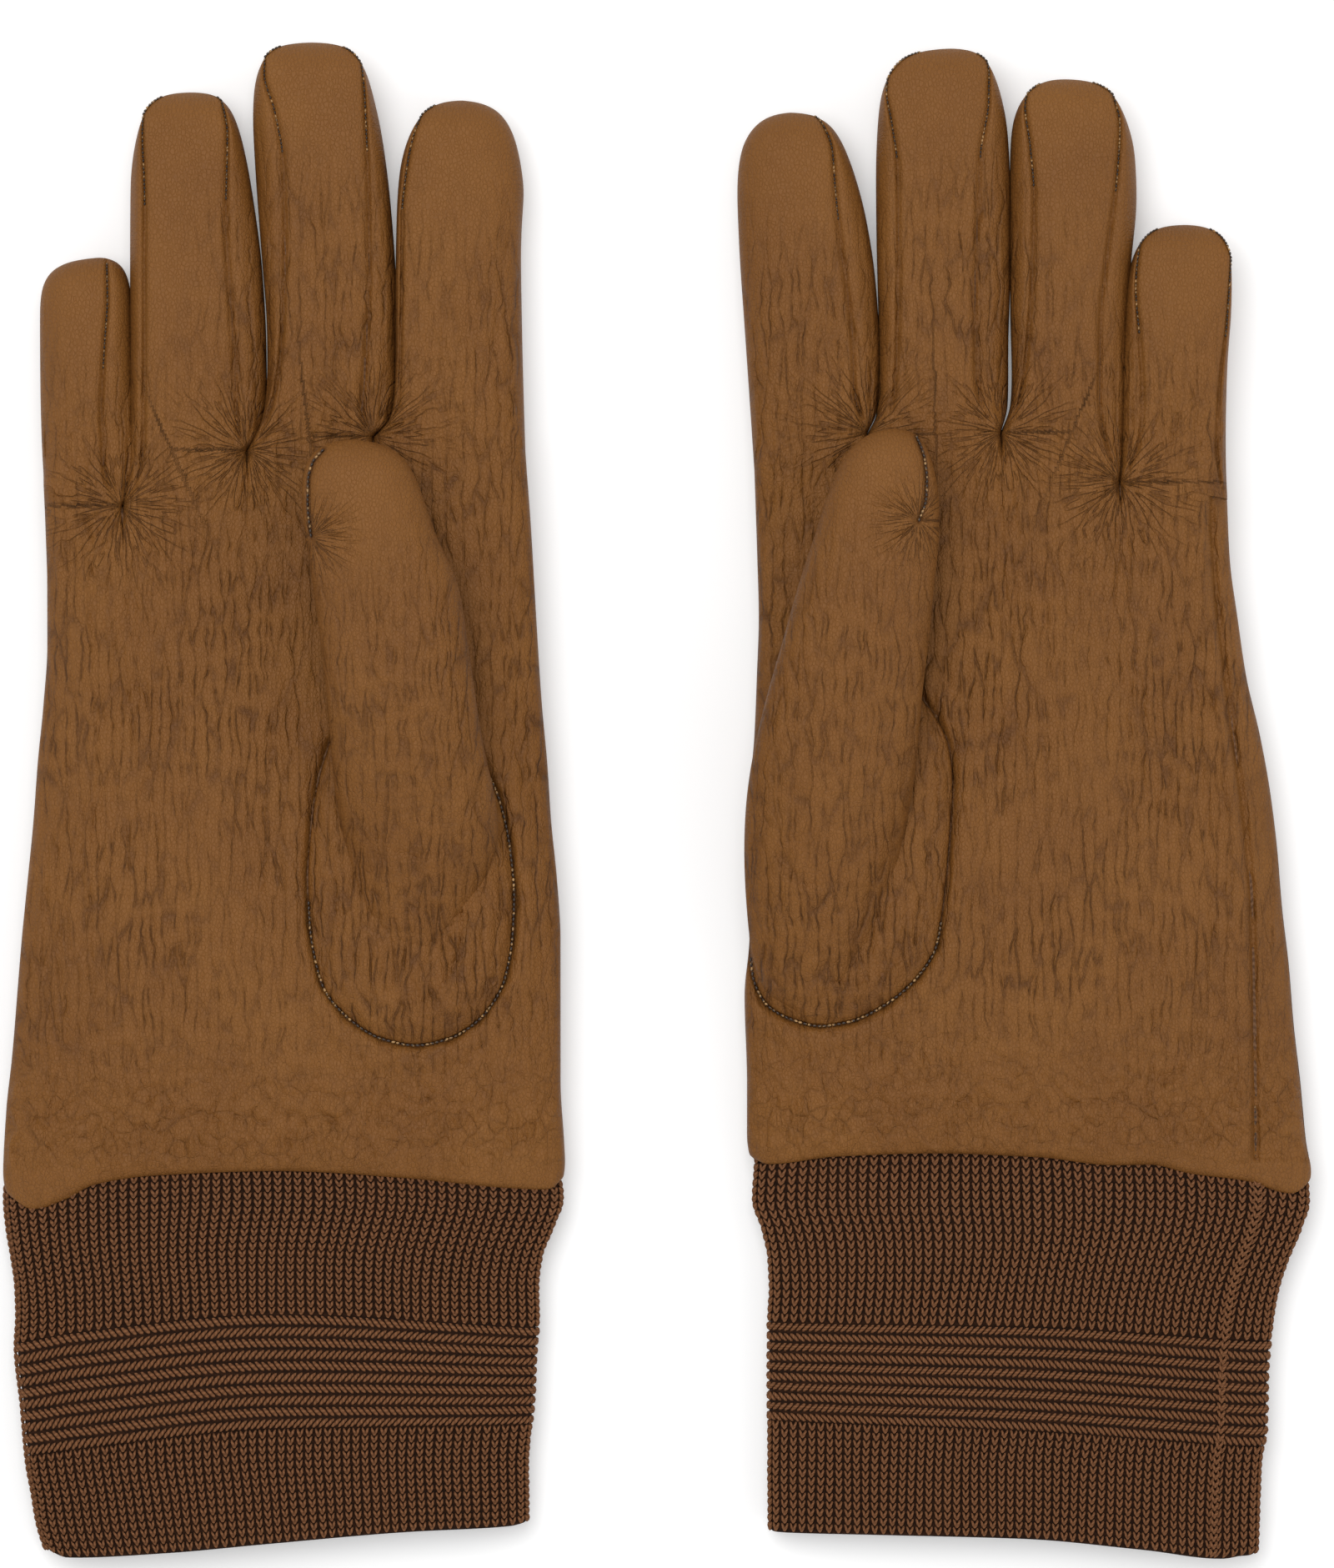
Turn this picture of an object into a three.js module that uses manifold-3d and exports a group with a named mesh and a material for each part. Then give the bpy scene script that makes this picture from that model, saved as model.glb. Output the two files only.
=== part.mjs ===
// A pair of lined leather gloves with ribbed knit cuffs. They lie palm up, with their thumbs on the palms.
// Millimetres. X runs across the pair, Y from the cuffs to the fingertips and Z up from the table.
// Each glove is drawn in hand coordinates, with X towards its index finger, and the left one is mirrored.
import * as THREE from "three";
import { mergeVertices } from "three/addons/utils/BufferGeometryUtils.js";
import Module from "manifold-3d";

const wasm = await Module();
wasm.setup();

// Driving dimensions.
const WIDTH_GRADE = 1; // widths of this size of glove over those of the patterns below
const LENGTH_GRADE = 1; // lengths from the hem to the fingertips over those of the patterns below
const CUFF_LENGTH = 72; // length of the knitted cuff below the hem
const LEATHER = 0.9; // thickness of the glove leather
const LINING = 1.3; // thickness of the knitted lining
const KNIT = 2.4; // thickness of the cuff knit
const GAP = 0.3; // clearance between neighbouring pieces
const THREAD = 0.7; // diameter of the sewing thread
const THREAD_LIFT = 0.85; // height of a seam thread's centre over the leather it closes
const HEM_DEPTH = 8; // how far the leather edge is turned in at the cuff
const FLAT = 0.25; // how much the table flattens the backs
const SQUARENESS = 2.5; // exponent of the flattened sections: 2 is an ellipse
const CUFF_SQUARENESS = 3;
const STITCH_TOP = 5; // how far the seams stay below the fingertip
const THUMB_SEAT = 0.7; // clearance between the folded thumb and the palm
const THUMB_THICK = 8.7; // half thickness of the folded thumb
const THUMB_LOW = 2.5; // height of the thumb's root over the palm
const THUMB_DEPTH = 2 * (LEATHER + GAP + LINING) + 4; // how far the thumb's hollow reaches down into the palm
const FINGER_THICK = [8.4, 7.4]; // half thickness of a stall at its knuckle and at its tip

// The patterns of the two hands, from the hem at y = 0.
const RIGHT = {
  name: "right",
  place: [-76, -78.3],
  mirrored: false,
  knuckleSlope: 0.2,
  cuffSlope: 0.06,
  // y, little-finger edge, index-finger edge, half thickness
  palm: [
    [0, -57.4, 57.4, 7.8],
    [25, -55.6, 56.4, 8.6],
    [60, -52.6, 55.4, 9],
    [97, -49.1, 52.5, 9],
    [138, -48.4, 48.6, 8.4],
  ],
  // y, little-finger edge, index-finger edge, half thickness
  cuff: [
    [-GAP, -56.2, 56.2, 6.6],
    [-14, -55.2, 52.6, 6],
    [-42, -52.8, 50.2, 6],
    [-CUFF_LENGTH, -49, 49, 6],
  ],
  // y, x of the seam that closes the leather on the palm side
  sideSeam: [[3, -51], [60, -46.6], [108, -44]],
  // line: y, centre x, half width. panel: how far the palm panel reaches to each side of the line.
  fingers: {
    index: {
      hinge: 155,
      tip: 220.1,
      panel: [9.6, 13],
      line: [[125, 35.4, 12.2], [160, 35.6, 12.4], [205, 35.8, 12.4]],
    },
    middle: {
      hinge: 155,
      tip: 232,
      panel: [8.8, 8.8],
      line: [[125, 9.4, 12.8], [165, 9.1, 13], [200, 7.9, 13.2], [218, 6.4, 12.6]],
    },
    ring: {
      hinge: 151.5,
      tip: 221.9,
      panel: [9, 8.2],
      line: [[125, -17.3, 12.8], [165, -17.4, 13], [195, -18.6, 12.4], [208, -19.4, 11.4]],
    },
    little: {
      hinge: 139.5,
      tip: 188.2,
      panel: [9, 5.2],
      line: [[112, -39.6, 9], [150, -40.1, 8.9], [180, -40.4, 8.8]],
    },
  },
  thumb: {
    crotch: 92,
    tip: 150.2,
    line: [
      [26, 27, 7],
      [30, 27, 13],
      [38, 26.4, 18.4],
      [60, 26, 20.6],
      [80, 25.8, 18],
      [92, 25.2, 15.4],
      [110, 22.9, 14.8],
      [128, 18.9, 13.2],
      [140, 16.2, 11.6],
    ],
  },
};
const LEFT = {
  name: "left",
  place: [76.1, -75.7],
  mirrored: true,
  knuckleSlope: 0.12,
  cuffSlope: 0.06,
  palm: [
    [0, -57.3, 57.6, 7.8],
    [25, -54, 58, 8.6],
    [60, -50.6, 57.6, 9],
    [97, -44.8, 56.2, 9],
    [138, -39.6, 55.6, 8.4],
  ],
  cuff: [
    [-GAP, -56.2, 56, 6.6],
    [-14, -54.2, 53.6, 6],
    [-42, -49, 52.8, 6],
    [-CUFF_LENGTH, -46, 53.2, 6],
  ],
  sideSeam: [[3, -46], [60, -41.6], [112, -36.6]],
  fingers: {
    index: {
      hinge: 155,
      tip: 215.2,
      panel: [8.2, 14],
      line: [[125, 43.4, 12.8], [160, 44.5, 12.8], [185, 46.2, 13], [200, 47.8, 12.4]],
    },
    middle: {
      hinge: 155,
      tip: 228.3,
      panel: [8.4, 8.4],
      line: [[125, 17.2, 12.6], [160, 17.8, 12.8], [195, 17.9, 13.4], [214, 18.2, 12.2]],
    },
    ring: {
      hinge: 154,
      tip: 222,
      panel: [7.4, 8],
      line: [[125, -7, 11], [165, -7.5, 11.4], [190, -8.6, 12.2], [208, -8.2, 11.6]],
    },
    little: {
      hinge: 143,
      tip: 192.3,
      panel: [9, 7.2],
      line: [[112, -29.1, 9.6], [150, -29.6, 10.1], [178, -30.6, 10]],
    },
  },
  thumb: {
    crotch: 92,
    tip: 149.9,
    line: [
      [27, 37, 7],
      [31, 37, 12.6],
      [39, 36.6, 17],
      [60, 36.4, 19.8],
      [80, 38.4, 17.6],
      [92, 38.2, 15.8],
      [108, 35.8, 14.7],
      [127, 31.9, 12.6],
      [138, 29, 10.8],
    ],
  },
};

// The sides of each finger that a fourchette closes: -1 is towards the little finger, 1 towards the index.
const FOURCHETTES = {
  index: [[-1, "fourchette"]],
  middle: [[-1, "ring_side_fourchette"], [1, "index_side_fourchette"]],
  ring: [[-1, "little_side_fourchette"], [1, "middle_side_fourchette"]],
  little: [[1, "fourchette"]],
};

const TIP_ROUND = 9; // length of the thumb's round end, and of the bend of a finger's seam
const THUMB_ROWS = [60, 78, 112, 130]; // y of the thumb's sections on both sides of its crotch
const OVAL_ROWS = [66, 52]; // y of points on the sides of the thumb's oval seam
const OVAL_END = 16; // how far the oval seam stops before the crotch
const THUMB_SEAM = 0.65; // where the thumb's side seam lies, as a share of its half width
const OVAL_CLEAR = 0.4; // extra clearance of the oval seam, which bends round the thumb's root
const KNUCKLES = 140 * LENGTH_GRADE; // where the palm ends between the stalls
const SLOPE_START = 60 * LENGTH_GRADE; // where the palm's sections begin to turn to the slope of the knuckles
const KNUCKLE_ROOT = 26; // how far a stall reaches into the palm from its knuckle
const SEAM_START = 4; // where a finger's seam begins past its knuckle
const OPEN = 2; // how far a hollow is cut past the end that it leaves open
const FAR = 400; // past everything, for cutting blocks

// How finely the soft shapes are drawn.
const PALM_SIDES = 14;
const FINGER_SIDES = 10;
const FINGER_ROWS = 2;
const TIP_ANGLES = [0, 42, 74];
const THREAD_STEP = 7;
const OVAL_STEP = 4.5;

const materials = {
  leather: new THREE.MeshStandardMaterial({ color: 0x7d532c, roughness: 0.55, metalness: 0 }),
  lining: new THREE.MeshStandardMaterial({ color: 0x6b4a33, roughness: 0.95, metalness: 0 }),
  knit: new THREE.MeshStandardMaterial({ color: 0x54382a, roughness: 0.95, metalness: 0 }),
  thread: new THREE.MeshStandardMaterial({ color: 0x5a3a1c, roughness: 0.7, metalness: 0 }),
};

// A hand's pattern at this size. Columns of a table are [y, x, ...], and half thicknesses stay as drawn.
function graded(hand) {
  const lengths = (y) => y * (y > 0 ? LENGTH_GRADE : 1);
  const outline = (table) => table.map(([y, low, high, thick]) => [
    lengths(y),
    low * WIDTH_GRADE,
    high * WIDTH_GRADE,
    thick,
  ]);
  const line = (table) => table.map(([y, x, half]) => [lengths(y), x * WIDTH_GRADE, half * WIDTH_GRADE]);
  const finger = ({ hinge, tip, panel, line: row }) => ({
    hinge: lengths(hinge),
    tip: lengths(tip),
    panel: panel.map((v) => v * WIDTH_GRADE),
    line: line(row),
  });
  const fingers = Object.entries(hand.fingers).map(([key, value]) => [key, finger(value)]);
  return {
    ...hand,
    place: [hand.place[0] * WIDTH_GRADE, hand.place[1]],
    palm: outline(hand.palm),
    cuff: outline(hand.cuff),
    sideSeam: hand.sideSeam.map(([y, x]) => [lengths(y), x * WIDTH_GRADE]),
    fingers: Object.fromEntries(fingers),
    thumb: {
      crotch: lengths(hand.thumb.crotch),
      tip: lengths(hand.thumb.tip),
      line: line(hand.thumb.line),
      rows: THUMB_ROWS.map(lengths),
      ovalRows: OVAL_ROWS.map(lengths),
    },
  };
}

// The value of column `column` of a table of stations at `y`, on straight lines between the stations.
function along(stations, y, column) {
  const rising = stations.at(-1)[0] > stations[0][0] ? 1 : -1;
  let i = 0;
  while (i < stations.length - 2 && (y - stations[i + 1][0]) * rising > 0) i += 1;
  const [low, high] = [stations[i], stations[i + 1]];
  const t = THREE.MathUtils.clamp((y - low[0]) / (high[0] - low[0]), 0, 1);
  return THREE.MathUtils.lerp(low[column], high[column], t);
}

// A unit coordinate of a circle bent to that of a flattened section, a superellipse.
const flatten = (v, squareness) => Math.sign(v) * Math.abs(v) ** (2 / squareness);

// A closed geometry as a solid that can be joined and cut.
function solid(geometry) {
  const bare = geometry.clone();
  for (const name of ["normal", "uv"]) bare.deleteAttribute(name);
  const merged = mergeVertices(bare, 1e-3);
  const vertProperties = new Float32Array(merged.attributes.position.array);
  const triVerts = new Uint32Array(merged.index.array);
  return new wasm.Manifold(new wasm.Mesh({ numProp: 3, vertProperties, triVerts }));
}

// A closed flattened tube through sections { x, y, z, wide, thick, slope }, ordered towards +Y.
function tube(sections, sides, squareness = SQUARENESS) {
  const rows = sections.length - 1;
  const geometry = new THREE.CylinderGeometry(1, 1, 1, sides, rows);
  geometry.rotateY(Math.PI / sides);
  const place = geometry.attributes.position;
  for (let i = 0; i < place.count; i += 1) {
    const s = sections[Math.round((place.getY(i) + 0.5) * rows)];
    const radius = Math.hypot(place.getX(i), place.getZ(i));
    const angle = Math.atan2(place.getZ(i), place.getX(i));
    const across = radius * s.wide * flatten(Math.cos(angle), squareness);
    const up = radius * s.thick * flatten(Math.sin(angle), squareness);
    place.setXYZ(i, s.x + across, s.y + across * (s.slope ?? 0), s.z + up);
  }
  return solid(geometry);
}

// A block from its low corner to its high corner, turned about Z at `pivot`.
function block(low, high, turn = 0, pivot = [0, 0]) {
  const size = high.map((v, i) => v - low[i]);
  const geometry = new THREE.BoxGeometry(...size);
  geometry.translate(...low.map((v, i) => v + size[i] / 2));
  geometry.translate(-pivot[0], -pivot[1], 0);
  geometry.rotateZ(turn);
  geometry.translate(pivot[0], pivot[1], 0);
  return solid(geometry);
}

const aboveTable = () => block([-FAR, -FAR, 0], [FAR, FAR, FAR]);
const before = (y) => block([-FAR, -FAR, -FAR], [FAR, y, FAR]);
const beyond = (y) => block([-FAR, y, -FAR], [FAR, FAR, FAR]);

// A section between two of a row of sections.
function sectionAt(sections, y) {
  let i = 0;
  while (i < sections.length - 2 && sections[i + 1].y < y) i += 1;
  const [a, b] = [sections[i], sections[i + 1]];
  const t = THREE.MathUtils.clamp((y - a.y) / (b.y - a.y), 0, 1);
  const mix = (key) => THREE.MathUtils.lerp(a[key], b[key], t);
  return { x: mix("x"), z: mix("z"), wide: mix("wide"), thick: mix("thick") };
}

// The height of a section's palm side at `x`.
function topOf(section, x, squareness = SQUARENESS) {
  const share = Math.min(Math.abs(x - section.x) / section.wide, 0.995);
  return section.z + section.thick * (1 - share ** squareness) ** (1 / squareness);
}

// A sewing thread along a list of points.
function thread(points, step = THREAD_STEP) {
  const path = new THREE.CatmullRomCurve3(points.map((p) => new THREE.Vector3(...p)));
  const section = new THREE.Shape();
  section.absarc(0, 0, THREAD / 2, 0, 2 * Math.PI, false);
  const steps = Math.max(2, Math.round(path.getLength() / step));
  const options = { steps, extrudePath: path, curveSegments: 2, bevelEnabled: false };
  return solid(new THREE.ExtrudeGeometry(section, options));
}

// The sections of a finger stall, `inset` inside its outer surface, from `root` to its round tip.
function fingerSections(finger, inset, root) {
  const shoulder = finger.tip - along(finger.line, finger.tip, 2);
  const sections = [];
  const add = (y, scale) => {
    const t = THREE.MathUtils.clamp((y - finger.hinge) / (finger.tip - finger.hinge), 0, 1);
    const thick = THREE.MathUtils.lerp(FINGER_THICK[0], FINGER_THICK[1], t);
    const wide = along(finger.line, y, 2);
    sections.push({
      x: along(finger.line, y, 1),
      y,
      z: thick - FLAT,
      wide: (wide - inset) * scale,
      thick: (thick - inset) * scale,
    });
  };
  add(root, 1);
  for (let i = 0; i < FINGER_ROWS; i += 1) {
    add(THREE.MathUtils.lerp(finger.hinge, shoulder, i / FINGER_ROWS), 1);
  }
  for (const degrees of TIP_ANGLES) {
    const angle = THREE.MathUtils.degToRad(degrees);
    add(shoulder + (finger.tip - inset - shoulder) * Math.sin(angle), Math.cos(angle) ** 0.7);
  }
  return sections;
}

// How far a finger leans from +Y towards +X.
function fingerTurn(finger) {
  const end = finger.tip - along(finger.line, finger.tip, 2);
  return Math.atan2(along(finger.line, end, 1) - along(finger.line, finger.hinge, 1), end - finger.hinge);
}

// Everything on the fingertip side of a finger's knuckle line, moved by `shift` along the finger.
function beyondKnuckle(finger, shift) {
  const x = along(finger.line, finger.hinge, 1);
  const y = finger.hinge + shift;
  return block([x - FAR, y, -FAR], [x + FAR, y + FAR, FAR], -fingerTurn(finger), [x, y]);
}

// A whole finger stall, from its root inside the palm.
function stall(finger, inset) {
  return tube(fingerSections(finger, inset, finger.hinge - KNUCKLE_ROOT + inset), FINGER_SIDES);
}

// The sections of the palm from y = low to y = high. Its far end follows the slope of the knuckles.
function palmSections(hand, inset, low, high) {
  const between = hand.palm.map((station) => station[0]).filter((y) => y > low + GAP && y < high - OPEN);
  return [low, ...between, high].map((y) => {
    const [little, index] = [along(hand.palm, y, 1), along(hand.palm, y, 2)];
    const thick = along(hand.palm, y, 3);
    return {
      x: (little + index) / 2,
      y,
      z: thick - FLAT,
      wide: (index - little) / 2 - inset,
      thick: thick - inset,
      slope: hand.knuckleSlope * THREE.MathUtils.smoothstep(y, SLOPE_START, KNUCKLES - 2),
    };
  });
}

// The hand as a solid from y = low to `past` beyond the knuckle line of each stall.
function handSolid(hand, inset, low, past) {
  let made = tube(palmSections(hand, inset, low, KNUCKLES - inset), PALM_SIDES);
  for (const finger of Object.values(hand.fingers)) {
    made = made.add(stall(finger, inset).subtract(beyondKnuckle(finger, past)));
  }
  return made;
}

// The folded thumb: it rises out of its oval seam in the palm and lies forward over it.
function thumbSections(hand, inset) {
  const { line, tip, crotch, rows } = hand.thumb;
  const root = line[0][0];
  const shoulder = tip - TIP_ROUND;
  const ys = [root, line[1][0], line[2][0], ...rows.slice(0, 2), crotch, ...rows.slice(2), shoulder];
  const sections = ys.map((y) => {
    const palmTop = 2 * along(hand.palm, y, 3) - FLAT;
    const rise = THREE.MathUtils.smoothstep(y, root - 6, crotch);
    const leave = THREE.MathUtils.smoothstep(y, crotch - 26, crotch);
    const top = palmTop + THREE.MathUtils.lerp(THUMB_LOW, 2 * THUMB_THICK + THUMB_SEAT, rise);
    const bottom = palmTop + THREE.MathUtils.lerp(-THUMB_DEPTH, THUMB_SEAT, leave);
    return {
      x: along(line, y, 1),
      y: y + (y === root ? inset : 0),
      z: (top + bottom) / 2,
      wide: along(line, y, 2) - inset,
      thick: (top - bottom) / 2 - inset,
    };
  });
  const end = sections.at(-1);
  for (const degrees of TIP_ANGLES.slice(1)) {
    const angle = THREE.MathUtils.degToRad(degrees);
    const scale = Math.cos(angle) ** 0.7;
    const y = shoulder + (tip - inset - shoulder) * Math.sin(angle);
    sections.push({ ...end, y, wide: end.wide * scale, thick: end.thick * scale });
  }
  return sections;
}

const thumbSolid = (hand, inset) => tube(thumbSections(hand, inset), FINGER_SIDES);

// The knitted cuff from y = low to y = high, which are both negative.
function cuffSolid(hand, inset, low, high) {
  const ys = [high, ...hand.cuff.slice(1, -1).map((station) => station[0]), low].reverse();
  return tube(ys.map((y) => cuffSection(hand, inset, y)), PALM_SIDES, CUFF_SQUARENESS);
}

function cuffSection(hand, inset, y) {
  const [little, index] = [along(hand.cuff, y, 1), along(hand.cuff, y, 2)];
  const thick = along(hand.cuff, y, 3);
  return {
    x: (little + index) / 2,
    y,
    z: thick,
    wide: (index - little) / 2 - inset,
    thick: thick - inset,
    slope: hand.cuffSlope * THREE.MathUtils.clamp(-(y + 20) / 52, 0, 1),
  };
}

function addMesh(group, name, shape, material) {
  const made = shape.getMesh();
  const geometry = new THREE.BufferGeometry();
  geometry.setAttribute("position", new THREE.BufferAttribute(new Float32Array(made.vertProperties), 3));
  geometry.setIndex(new THREE.BufferAttribute(new Uint32Array(made.triVerts), 1));
  const mesh = new THREE.Mesh(geometry, material);
  mesh.name = name;
  group.add(mesh);
}

// The seam of a finger's palm panel: up the sides that have a fourchette and round the tip.
function fingerThread(finger, sides) {
  const sections = fingerSections(finger, 0, finger.hinge);
  const bend = finger.tip - TIP_ROUND;
  const reach = (finger.panel[0] + finger.panel[1]) / 2;
  const shift = (finger.panel[1] - finger.panel[0]) / 2;
  const points = [];
  const add = (across, y) => {
    const s = sectionAt(sections, y);
    points.push([s.x + across, y, topOf(s, s.x + across) + THREAD_LIFT]);
  };
  const [low, high] = [sides.includes(-1), sides.includes(1)];
  const rows = [0, 0.3, 0.6, 0.9].map((t) => THREE.MathUtils.lerp(finger.hinge + SEAM_START, bend, t));
  if (low) for (const y of rows) add(-finger.panel[0], y);
  for (let degrees = low ? 160 : 120; degrees >= (high ? 20 : 60); degrees -= 20) {
    const angle = THREE.MathUtils.degToRad(degrees);
    add(shift + reach * Math.cos(angle), bend + (TIP_ROUND - STITCH_TOP) * Math.sin(angle));
  }
  if (high) for (const y of rows.reverse()) add(finger.panel[1], y);
  return thread(points);
}

// The space of the fourchette on one side of a finger, `grow` larger than the piece itself.
function fourchetteZone(finger, side, grow) {
  const [x, y] = [along(finger.line, finger.hinge, 1), finger.hinge];
  const near = side * (finger.panel[side > 0 ? 1 : 0] - grow);
  const span = [near, side * FAR].sort((a, b) => a - b);
  const low = [x + span[0], y - SEAM_START, -FAR];
  const high = [x + span[1], finger.tip - STITCH_TOP + grow, FAR];
  return block(low, high, -fingerTurn(finger), [x, y]);
}

function buildFinger(hand, key, group) {
  const finger = hand.fingers[key];
  const name = `${hand.name}_${key}`;
  const start = beyondKnuckle(finger, GAP);
  const skin = stall(finger, 0).subtract(stall(finger, LEATHER));
  const shell = skin.intersect(start).intersect(aboveTable());
  let leather = shell;
  for (const [side, label] of FOURCHETTES[key]) {
    leather = leather.subtract(fourchetteZone(finger, side, GAP));
    addMesh(group, `${name}_${label}`, shell.intersect(fourchetteZone(finger, side, 0)), materials.leather);
  }
  addMesh(group, `${name}_leather`, leather, materials.leather);

  const inside = LEATHER + GAP;
  const lining = stall(finger, inside).subtract(stall(finger, inside + LINING));
  addMesh(group, `${name}_lining`, lining.intersect(start), materials.lining);
  const sides = FOURCHETTES[key].map(([side]) => side);
  addMesh(group, `${name}_seam_thread`, fingerThread(finger, sides), materials.thread);
}

// The leather of the palm and back, open at the hem, the knuckles and the thumb's oval.
function buildPalm(hand, group) {
  const skin = handSolid(hand, 0, 0, 0).subtract(handSolid(hand, LEATHER, -OPEN, OPEN));
  const thumbHole = thumbSolid(hand, LEATHER).intersect(before(hand.thumb.crotch));
  const leather = skin.intersect(aboveTable()).subtract(thumbHole);
  addMesh(group, `${hand.name}_hand_leather`, leather, materials.leather);

  const facingIn = LEATHER + GAP;
  const facing = tube(palmSections(hand, facingIn, 0, KNUCKLES), PALM_SIDES).intersect(before(HEM_DEPTH));
  const facingHole = tube(palmSections(hand, facingIn + LEATHER, -OPEN, KNUCKLES), PALM_SIDES);
  const ring = facing.intersect(beyond(GAP)).subtract(facingHole);
  addMesh(group, `${hand.name}_hem_facing`, ring, materials.leather);

  // The lining of the palm runs on through the oval to the thumb's crotch.
  const withThumb = (inset, low, past) => {
    const thumb = thumbSolid(hand, inset).intersect(before(hand.thumb.crotch + past));
    return handSolid(hand, inset, low, past).add(thumb);
  };
  const liningStart = HEM_DEPTH + GAP;
  const hollow = withThumb(facingIn + LINING, liningStart - OPEN, OPEN);
  const lining = withThumb(facingIn, liningStart, 0).subtract(hollow);
  addMesh(group, `${hand.name}_hand_lining`, lining, materials.lining);

  const sections = palmSections(hand, 0, 0, KNUCKLES);
  const seam = hand.sideSeam.map(([y, x]) => [x, y, topOf(sectionAt(sections, y), x) + THREAD_LIFT]);
  addMesh(group, `${hand.name}_side_seam_thread`, thread(seam), materials.thread);
}

function buildThumb(hand, group) {
  const { crotch, line, ovalRows } = hand.thumb;
  const skin = thumbSolid(hand, 0).subtract(thumbSolid(hand, LEATHER));
  const base = skin.intersect(before(crotch)).subtract(handSolid(hand, -GAP, -OPEN, 0));
  addMesh(group, `${hand.name}_thumb_base`, base, materials.leather);
  addMesh(group, `${hand.name}_thumb_leather`, skin.intersect(beyond(crotch + GAP)), materials.leather);

  const inside = LEATHER + GAP;
  const lining = thumbSolid(hand, inside).subtract(thumbSolid(hand, inside + LINING));
  addMesh(group, `${hand.name}_thumb_lining`, lining.intersect(beyond(crotch + GAP)), materials.lining);

  // The oval seam lies on the palm round the thumb's root.
  const palm = palmSections(hand, 0, 0, KNUCKLES);
  const beside = THREAD_LIFT + OVAL_CLEAR;
  const rows = [crotch - OVAL_END, ...ovalRows, line[2][0], line[1][0], line[0][0]];
  const onPalm = (side, y) => {
    const x = along(line, y, 1) + side * (along(line, y, 2) + beside);
    return [x, y, topOf(sectionAt(palm, y), x) + THREAD_LIFT];
  };
  const low = line[0][0] - beside;
  const lowest = [line[0][1], low, topOf(sectionAt(palm, low), line[0][1]) + THREAD_LIFT];
  const oval = [...rows.map((y) => onPalm(-1, y)), lowest, ...rows.reverse().map((y) => onPalm(1, y))];
  addMesh(group, `${hand.name}_thumb_oval_thread`, thread(oval, OVAL_STEP), materials.thread);

  // The seam down the thumb's outer side starts at its tip.
  const thumb = thumbSections(hand, 0);
  const side = [hand.thumb.tip - TIP_ROUND, hand.thumb.tip - 16, hand.thumb.tip - 24].map((y) => {
    const s = sectionAt(thumb, y);
    const x = s.x - s.wide * THUMB_SEAM;
    return [x, y, topOf(s, x) + THREAD_LIFT];
  });
  addMesh(group, `${hand.name}_thumb_seam_thread`, thread(side), materials.thread);
}

function buildCuff(hand, group) {
  const [top, bottom] = [hand.cuff[0][0], hand.cuff.at(-1)[0]];
  const knit = cuffSolid(hand, 0, bottom, top).subtract(cuffSolid(hand, KNIT, bottom - OPEN, top + OPEN));
  addMesh(group, `${hand.name}_knit_cuff`, knit.intersect(aboveTable()), materials.knit);

  // The knit's ends are joined by a seam inside the palm side, near the little finger.
  const seam = [top - 2, -20, -40, bottom + 2].map((y) => {
    const s = cuffSection(hand, KNIT, y);
    const x = s.x - s.wide * 0.8;
    return [x, y, topOf(s, x, CUFF_SQUARENESS) - THREAD_LIFT];
  });
  addMesh(group, `${hand.name}_cuff_seam`, thread(seam), materials.knit);
}

function buildGlove(hand) {
  const glove = new THREE.Group();
  buildPalm(hand, glove);
  buildThumb(hand, glove);
  buildCuff(hand, glove);
  for (const key of Object.keys(hand.fingers)) buildFinger(hand, key, glove);
  glove.scale.x = hand.mirrored ? -1 : 1;
  glove.position.set(...hand.place, 0);
  return glove;
}

const gloves = new THREE.Group();
gloves.add(buildGlove(graded(RIGHT)), buildGlove(graded(LEFT)));

export default gloves;
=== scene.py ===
import math

import bmesh
import bpy
import numpy as np
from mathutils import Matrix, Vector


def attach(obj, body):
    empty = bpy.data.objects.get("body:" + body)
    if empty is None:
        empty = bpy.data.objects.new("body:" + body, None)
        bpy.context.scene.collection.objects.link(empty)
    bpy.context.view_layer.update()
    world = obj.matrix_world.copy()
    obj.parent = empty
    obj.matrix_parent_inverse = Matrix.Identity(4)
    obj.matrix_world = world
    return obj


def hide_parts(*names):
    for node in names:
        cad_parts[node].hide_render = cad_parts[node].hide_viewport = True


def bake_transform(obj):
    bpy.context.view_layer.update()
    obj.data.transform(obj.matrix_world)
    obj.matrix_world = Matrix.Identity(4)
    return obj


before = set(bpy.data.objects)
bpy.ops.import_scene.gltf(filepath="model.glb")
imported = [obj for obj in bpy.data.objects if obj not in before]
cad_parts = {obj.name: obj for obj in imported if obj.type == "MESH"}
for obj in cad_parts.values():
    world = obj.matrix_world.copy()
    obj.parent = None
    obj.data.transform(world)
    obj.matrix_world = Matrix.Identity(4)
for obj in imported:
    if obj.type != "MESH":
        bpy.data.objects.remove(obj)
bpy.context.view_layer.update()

MM = 0.001

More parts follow.
